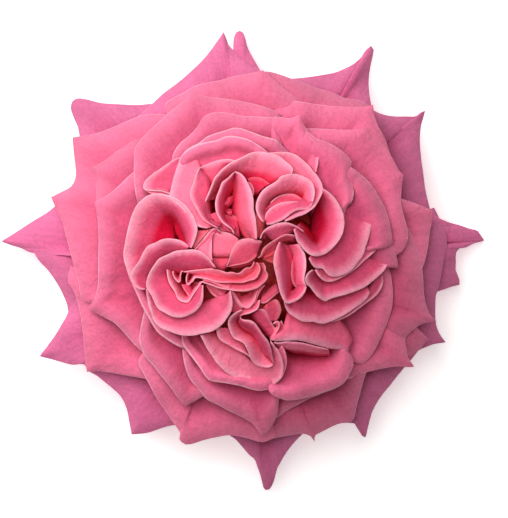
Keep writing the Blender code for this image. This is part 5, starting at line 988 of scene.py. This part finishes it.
def node(tree, kind, settings, sockets):
    """Adds a node with its settings. Each socket takes a value or another node's output."""
    made = tree.nodes.new(kind)
    for key, value in settings.items():
        setattr(made, key, value)
    for key, value in sockets.items():
        if isinstance(value, bpy.types.NodeSocket):
            tree.links.new(value, made.inputs[key])
        else:
            made.inputs[key].default_value = value
    return made


def new_material(name):
    """A material with its node tree and shader."""
    material = bpy.data.materials.new(name)
    material.use_nodes = True
    return material, material.node_tree, material.node_tree.nodes["Principled BSDF"]


def petal_colour(tree, read, root, blade, margin, blush, highlight_strength):
    """The skin's colour before veins and grain: each layer is laid over the last by its factor."""
    # The depth layer paints crimson shade into hollows; the last layer paints a highlight on the lip's edge.
    layers = [("share", (0.85, 1.2), 1.0, margin), ("tone", (0.2, 0.9), 0.5, blush),
              ("depth", SHADE_DEPTHS, 0.93, HOLLOW_SHADE), ("warm", (0, 1), 0.85, SALMON),
              ("share", (1.1, 1.6), highlight_strength, RIM_HIGHLIGHT)]
    # Root to blade: the base's own deeper colour, and painted shade where the next petal covers the root.
    grown = node(tree, "ShaderNodeMapRange", SMOOTH, {0: read["share"], 1: 0.6, 2: 1.0}).outputs[0]
    colour = node(tree, "ShaderNodeMix", RGBA, {0: grown, 6: linear(root), 7: linear(blade)}).outputs[2]
    for label, (low, high), most, hex_value in layers:
        factor = node(tree, "ShaderNodeMapRange", SMOOTH,
                      {0: read[label], 1: low, 2: high, 4: most}).outputs[0]
        colour = node(tree, "ShaderNodeMix", RGBA,
                      {0: factor, 6: colour, 7: linear(hex_value)}).outputs[2]
    return colour


def petal_material(name, root, blade, margin, blush, highlight_strength):
    """Petal skin: root, blade and margin colours, with a blush that differs between petals.

    Deep in the heart's hollows, and in the hollows between layers, it is painted a crimson
    shade, and the petals of the very middle are salmon. The root colour is partly the petal's own
    deeper base and partly painted shade under the next petal. The lip's edge has a fine painted
    highlight. Velvet grain is 0.7 mm across, drawn coarser than the real cells of 0.03 mm so that it
    shows. Veins fan up the blade 1.5 mm apart and blotches are a few millimetres across. The bump holds
    grain, veins and fine wrinkles.
    """
    material, tree, shader = new_material(name)
    read = {label: node(tree, "ShaderNodeAttribute", {"attribute_name": label}, {}).outputs["Fac"]
            for label in ("across", "along", "share", "tone", "warm", "depth")}
    place = node(tree, "ShaderNodeTexCoord", {}, {}).outputs["Object"]
    blade_place = node(tree, "ShaderNodeCombineXYZ", {},
                       {0: read["across"], 1: read["along"], 2: read["tone"]}).outputs[0]
    # The tone moves each petal's veins to a part of the noise of their own.
    vein_place = node(tree, "ShaderNodeVectorMath", MULTIPLY,
                      {0: blade_place, 1: (0.65, 0.07, 9.0)}).outputs[0]
    veins = node(tree, "ShaderNodeTexNoise", {},
                 {"Vector": vein_place, "Scale": 1.0, "Detail": 3.0}).outputs[0]
    grain = node(tree, "ShaderNodeTexNoise", {},
                 {"Vector": place, "Scale": 1 / (0.7 * MM), "Detail": 4.0, "Roughness": 0.7}).outputs[0]
    blotches = node(tree, "ShaderNodeTexNoise", {},
                    {"Vector": place, "Scale": 1 / (6 * MM), "Detail": 3.0}).outputs[0]
    wrinkles = node(tree, "ShaderNodeTexNoise", {},
                    {"Vector": place, "Scale": 1 / (2.2 * MM), "Detail": 2.0, "Distortion": 1.2}).outputs[0]
    colour = petal_colour(tree, read, root, blade, margin, blush, highlight_strength)
    light = node(tree, "ShaderNodeMapRange", SMOOTH, {0: veins, 1: 0.3, 2: 0.7, 3: 0.95, 4: 1.03}).outputs[0]
    for source, least, most in ((grain, 0.9, 1.07), (blotches, 0.94, 1.04), (read["tone"], 0.86, 1.04)):
        patch = node(tree, "ShaderNodeMapRange", SMOOTH,
                     {0: source, 1: 0.3, 2: 0.7, 3: least, 4: most}).outputs[0]
        light = node(tree, "ShaderNodeMath", MULTIPLY, {0: light, 1: patch}).outputs[0]
    shaded = node(tree, "ShaderNodeVectorMath", {"operation": "SCALE"},
                  {0: colour, "Scale": light}).outputs[0]
    tree.links.new(shaded, shader.inputs["Base Color"])
    height = veins
    for source, weight in ((grain, 0.5), (wrinkles, 1.6)):
        height = node(tree, "ShaderNodeMath", {"operation": "MULTIPLY_ADD"},
                      {0: source, 1: weight, 2: height}).outputs[0]
    bump = node(tree, "ShaderNodeBump", {}, {"Strength": 0.6, "Distance": 0.22 * MM, "Height": height})
    tree.links.new(bump.outputs[0], shader.inputs["Normal"])
    dull = node(tree, "ShaderNodeMapRange", SMOOTH, {0: grain, 1: 0.3, 2: 0.7, 3: 0.66, 4: 0.8}).outputs[0]
    tree.links.new(dull, shader.inputs["Roughness"])
    for key, value in {"IOR": 1.4, "Specular IOR Level": 0.08, "Subsurface Weight": 0.08,
                       "Subsurface Radius": (1.0, 0.2, 0.3), "Subsurface Scale": 0.3 * MM,
                       "Sheen Weight": 0.02, "Sheen Roughness": 0.5, "Sheen Tint": linear("FFC0D2")}.items():
        shader.inputs[key].default_value = value
    return material


def make_petals():
    """The four outer layers and the folded heart, one object each."""
    guard = petal_material("guard_petal_skin", *GUARD_COLOURS)
    body = petal_material("petal_skin", *BODY_COLOURS)
    heart = petal_material("heart_petal_skin", *HEART_COLOURS)
    plan = [("guards", GUARDS, guard, "guard_petals", "guard_pink"),
            ("capes", CAPES, body, "petals", "petal_pink"),
            ("mantles", MANTLES, body, "petals", "petal_pink"),
            ("collars", COLLARS, body, "petals", "petal_pink")]
    number = 0
    for name, petals, material, solid, slot in plan:
        sheets = [petal_sheet(petal, number + index, LAYER_STEP, LAYER_ROWS)
                  for index, petal in enumerate(petals, 1)]
        number += len(petals)
        stand_for(make_sheets(name, sheets, material), solid)
    sheets = [fold_sheet(fold, index, FOLD_STEP, FOLD_ROWS) for index, fold in enumerate(FOLDS.values())]
    stand_for(make_sheets("heart", sheets, heart), "petals")


def core_points():
    """The petal bases' points: the middle, then ring by ring outwards."""
    points = [(0.0, 0.0, core_height(0))]
    for ring in range(1, CORE_RINGS + 1):
        radius = CORE_RADIUS * ring / CORE_RINGS
        for side in range(CORE_SIDES):
            turn = 2 * math.pi * side / CORE_SIDES
            x, y = radius * math.cos(turn), radius * math.sin(turn)
            rough = CORE_ROUGHNESS * noise.noise(Vector((x * 0.6, y * 0.6, 3.1)))
            points.append((x, y, core_height(radius) + rough))
    return points


def make_core():
    """The crowded petal bases under the heart, seen only deep between its folds."""
    faces = [(0, 1 + side, 1 + (side + 1) % CORE_SIDES) for side in range(CORE_SIDES)]
    for ring in range(CORE_RINGS - 1):
        a = 1 + ring * CORE_SIDES
        for side in range(CORE_SIDES):
            b = (side + 1) % CORE_SIDES
            faces.append((a + side, a + CORE_SIDES + side, a + CORE_SIDES + b, a + b))
    core = place_mesh("petal_bases", core_points(), faces, core_material())
    thickness = core.modifiers.new("thickness", "SOLIDIFY")
    thickness.thickness = CORE_THICKNESS * MM
    stand_for(core, "petals")


def core_material():
    """Crowded petal bases: wet crimson, dark as painted shade deep between the folds, with rust patches a few
    millimetres across.
    """
    material, tree, shader = new_material("petal_base_flesh")
    place = node(tree, "ShaderNodeTexCoord", {}, {}).outputs["Object"]
    patches = node(tree, "ShaderNodeTexNoise", {},
                   {"Vector": place, "Scale": 1 / (3 * MM), "Detail": 4.0}).outputs[0]
    rusty = node(tree, "ShaderNodeMapRange", SMOOTH, {0: patches, 1: 0.35, 2: 0.65}).outputs[0]
    # The dark crimson is painted shade of the deep hollows; the rust-red is patches.
    colour = node(tree, "ShaderNodeMix", RGBA,
                  {0: rusty, 6: linear("A80E24"), 7: linear("C83A30")}).outputs[2]
    tree.links.new(colour, shader.inputs["Base Color"])
    bump = node(tree, "ShaderNodeBump", {}, {"Strength": 0.8, "Distance": 0.5 * MM, "Height": patches})
    tree.links.new(bump.outputs[0], shader.inputs["Normal"])
    shader.inputs["Roughness"].default_value = 0.6
    return material


def calyx_material():
    """Hip and sepal skin: matt leaf green in soft patches, flushed with brown-red here and there."""
    material, tree, shader = new_material("calyx_skin")
    place = node(tree, "ShaderNodeTexCoord", {}, {}).outputs["Object"]
    patches = node(tree, "ShaderNodeTexNoise", {},
                   {"Vector": place, "Scale": 1 / (5 * MM), "Detail": 4.0}).outputs[0]
    pores = node(tree, "ShaderNodeTexNoise", {},
                 {"Vector": place, "Scale": 1 / (0.6 * MM), "Detail": 3.0}).outputs[0]
    pale = node(tree, "ShaderNodeMapRange", SMOOTH, {0: patches, 1: 0.35, 2: 0.6}).outputs[0]
    flush = node(tree, "ShaderNodeMapRange", SMOOTH, {0: patches, 1: 0.62, 2: 0.75, 4: 0.5}).outputs[0]
    green = node(tree, "ShaderNodeMix", RGBA, {0: pale, 6: linear("5F7F3C"), 7: linear("8BA35C")}).outputs[2]
    flushed = node(tree, "ShaderNodeMix", RGBA, {0: flush, 6: green, 7: linear("8E5A48")}).outputs[2]
    tree.links.new(flushed, shader.inputs["Base Color"])
    bump = node(tree, "ShaderNodeBump", {}, {"Strength": 0.6, "Distance": 0.1 * MM, "Height": pores})
    tree.links.new(bump.outputs[0], shader.inputs["Normal"])
    dull = node(tree, "ShaderNodeMapRange", SMOOTH, {0: pores, 1: 0.3, 2: 0.7, 3: 0.5, 4: 0.65}).outputs[0]
    tree.links.new(dull, shader.inputs["Roughness"])
    return material


def hair_material():
    """Gland hairs: rust red, a little sticky and so glossier than the skin, darker in patches."""
    material, tree, shader = new_material("gland_hair")
    place = node(tree, "ShaderNodeTexCoord", {}, {}).outputs["Object"]
    patches = node(tree, "ShaderNodeTexNoise", {},
                   {"Vector": place, "Scale": 1 / (2 * MM), "Detail": 2.0}).outputs[0]
    colour = node(tree, "ShaderNodeMix", RGBA,
                  {0: patches, 6: linear("7A3B2C"), 7: linear("A05A3C")}).outputs[2]
    tree.links.new(colour, shader.inputs["Base Color"])
    shader.inputs["Roughness"].default_value = 0.35
    return material


def hair_tree(material):
    """Geometry Nodes that stand gland hairs on a mesh, with inputs for their density and length."""
    tree = bpy.data.node_groups.new("gland_hairs", "GeometryNodeTree")
    add_socket = tree.interface.new_socket
    add_socket("Skin", in_out="INPUT", socket_type="NodeSocketGeometry")
    density = add_socket("Hairs per square metre", in_out="INPUT", socket_type="NodeSocketFloat")
    length = add_socket("Hair length", in_out="INPUT", socket_type="NodeSocketFloat")
    add_socket("Hairs", in_out="OUTPUT", socket_type="NodeSocketGeometry")
    given = node(tree, "NodeGroupInput", {}, {}).outputs
    place = node(tree, "GeometryNodeInputPosition", {}, {}).outputs[0]
    height = node(tree, "ShaderNodeSeparateXYZ", {}, {0: place}).outputs[2]
    raised = node(tree, "FunctionNodeCompare", {"data_type": "FLOAT", "operation": "GREATER_THAN"},
                  {0: height, 1: HAIRLESS_HEIGHT * MM}).outputs[0]
    spots = node(tree, "GeometryNodeDistributePointsOnFaces", {},
                 {"Mesh": given["Skin"], "Selection": raised, "Density": given["Hairs per square metre"],
                  "Seed": HAIR_SEED}).outputs
    hair = node(tree, "GeometryNodeMeshCone", {},
                {"Vertices": 5, "Radius Top": HAIR_TIP * MM, "Radius Bottom": HAIR_FOOT * MM,
                 "Depth": given["Hair length"]}).outputs[0]
    stood = node(tree, "GeometryNodeInstanceOnPoints", {},
                 {"Points": spots["Points"], "Instance": hair, "Rotation": spots["Rotation"]}).outputs[0]
    real = node(tree, "GeometryNodeRealizeInstances", {}, {"Geometry": stood}).outputs[0]
    dressed = node(tree, "GeometryNodeSetMaterial", {}, {"Geometry": real, "Material": material}).outputs[0]
    node(tree, "NodeGroupOutput", {}, {"Hairs": dressed})
    return tree, density.identifier, length.identifier


def make_calyx():
    """The hip and its sepals, a smooth copy of the model's solid, and the hairs that stand on it."""
    skin = bpy.data.objects.new("hip_and_sepals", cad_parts["calyx"].data.copy())
    bpy.context.scene.collection.objects.link(skin)
    work = bmesh.new()
    work.from_mesh(skin.data)
    bmesh.ops.remove_doubles(work, verts=work.verts, dist=MERGE_DISTANCE * MM)
    work.to_mesh(skin.data)
    work.free()
    skin.data.shade_smooth()
    skin.data.set_sharp_from_angle(angle=math.radians(SHARP_ANGLE))
    skin.data.materials.clear()
    skin.data.materials.append(calyx_material())
    tree, density, length = hair_tree(hair_material())
    grown = skin.modifiers.new("hairs", "NODES")
    grown.node_group = tree
    grown[density] = HAIR_DENSITY
    grown[length] = HAIR_LENGTH * MM
    graph = bpy.context.evaluated_depsgraph_get()
    hairs = bpy.data.objects.new("gland_hairs", bpy.data.meshes.new_from_object(skin.evaluated_get(graph)))
    bpy.context.scene.collection.objects.link(hairs)
    skin.modifiers.remove(grown)
    stand_for(skin, "calyx")
    stand_for(hairs, "calyx")


def soft_light(name, place, size, power, tint):
    """A square area light that looks at the bloom."""
    light = bpy.data.lights.new(name, "AREA")
    light.size = size
    light.energy = power
    light.color = linear(tint)[:3]
    lamp = bpy.data.objects.new(name, light)
    lamp.location = place
    lamp.visible_camera = False
    lamp.rotation_euler = (Vector((0, 0, RIM_LEVEL)) - Vector(place)).to_track_quat("-Z", "Y").to_euler()
    bpy.context.scene.collection.objects.link(lamp)


def camera_from_above():
    """Looks straight down with a long lens, framed as the photo is."""
    camera = bpy.data.cameras.new("camera")
    camera.sensor_fit = "HORIZONTAL"
    camera.sensor_width = SENSOR_WIDTH
    camera.lens = SENSOR_WIDTH * (CAMERA_HEIGHT - RIM_LEVEL) / (PHOTO_SIZE[0] * PIXEL * MM)
    camera.clip_end = 10
    mount = bpy.data.objects.new("camera", camera)
    x = AXIS[0] + (PHOTO_SIZE[0] / 2 - PHOTO_AXIS[0]) * PIXEL
    y = AXIS[1] + (PHOTO_AXIS[1] - PHOTO_SIZE[1] / 2) * PIXEL
    mount.location = (x * MM, y * MM, CAMERA_HEIGHT)
    bpy.context.scene.collection.objects.link(mount)
    bpy.context.scene.camera = mount


def pale_floor():
    """A wide plain sheet of white paper, glowing a little so that shadows stay pale."""
    mesh = bpy.data.meshes.new("floor")
    side = FLOOR_SIDE
    corners = [(-side, -side, 0), (side, -side, 0), (side, side, 0), (-side, side, 0)]
    mesh.from_pydata(corners, [], [(0, 1, 2, 3)])
    material, _, shader = new_material("floor_paper")
    shader.inputs["Base Color"].default_value = linear("F4F3F2")
    shader.inputs["Roughness"].default_value = 0.9
    shader.inputs["Emission Color"].default_value = linear("FFFFFF")
    shader.inputs["Emission Strength"].default_value = FLOOR_GLOW
    mesh.materials.append(material)
    floor = bpy.data.objects.new("floor", mesh)
    bpy.context.scene.collection.objects.link(floor)


def studio_world():
    """Even white light from all round, weak beside the key light."""
    world = bpy.data.worlds.new("studio")
    bpy.context.scene.world = world
    world.use_nodes = True
    world.node_tree.nodes["Background"].inputs[0].default_value = linear("FFFFFF")
    world.node_tree.nodes["Background"].inputs[1].default_value = WORLD_LIGHT
    bpy.context.scene.view_settings.view_transform = "Standard"


make_petals()
make_core()
make_calyx()
pale_floor()
camera_from_above()
studio_world()
for lamp in LAMPS:
    soft_light(*lamp)
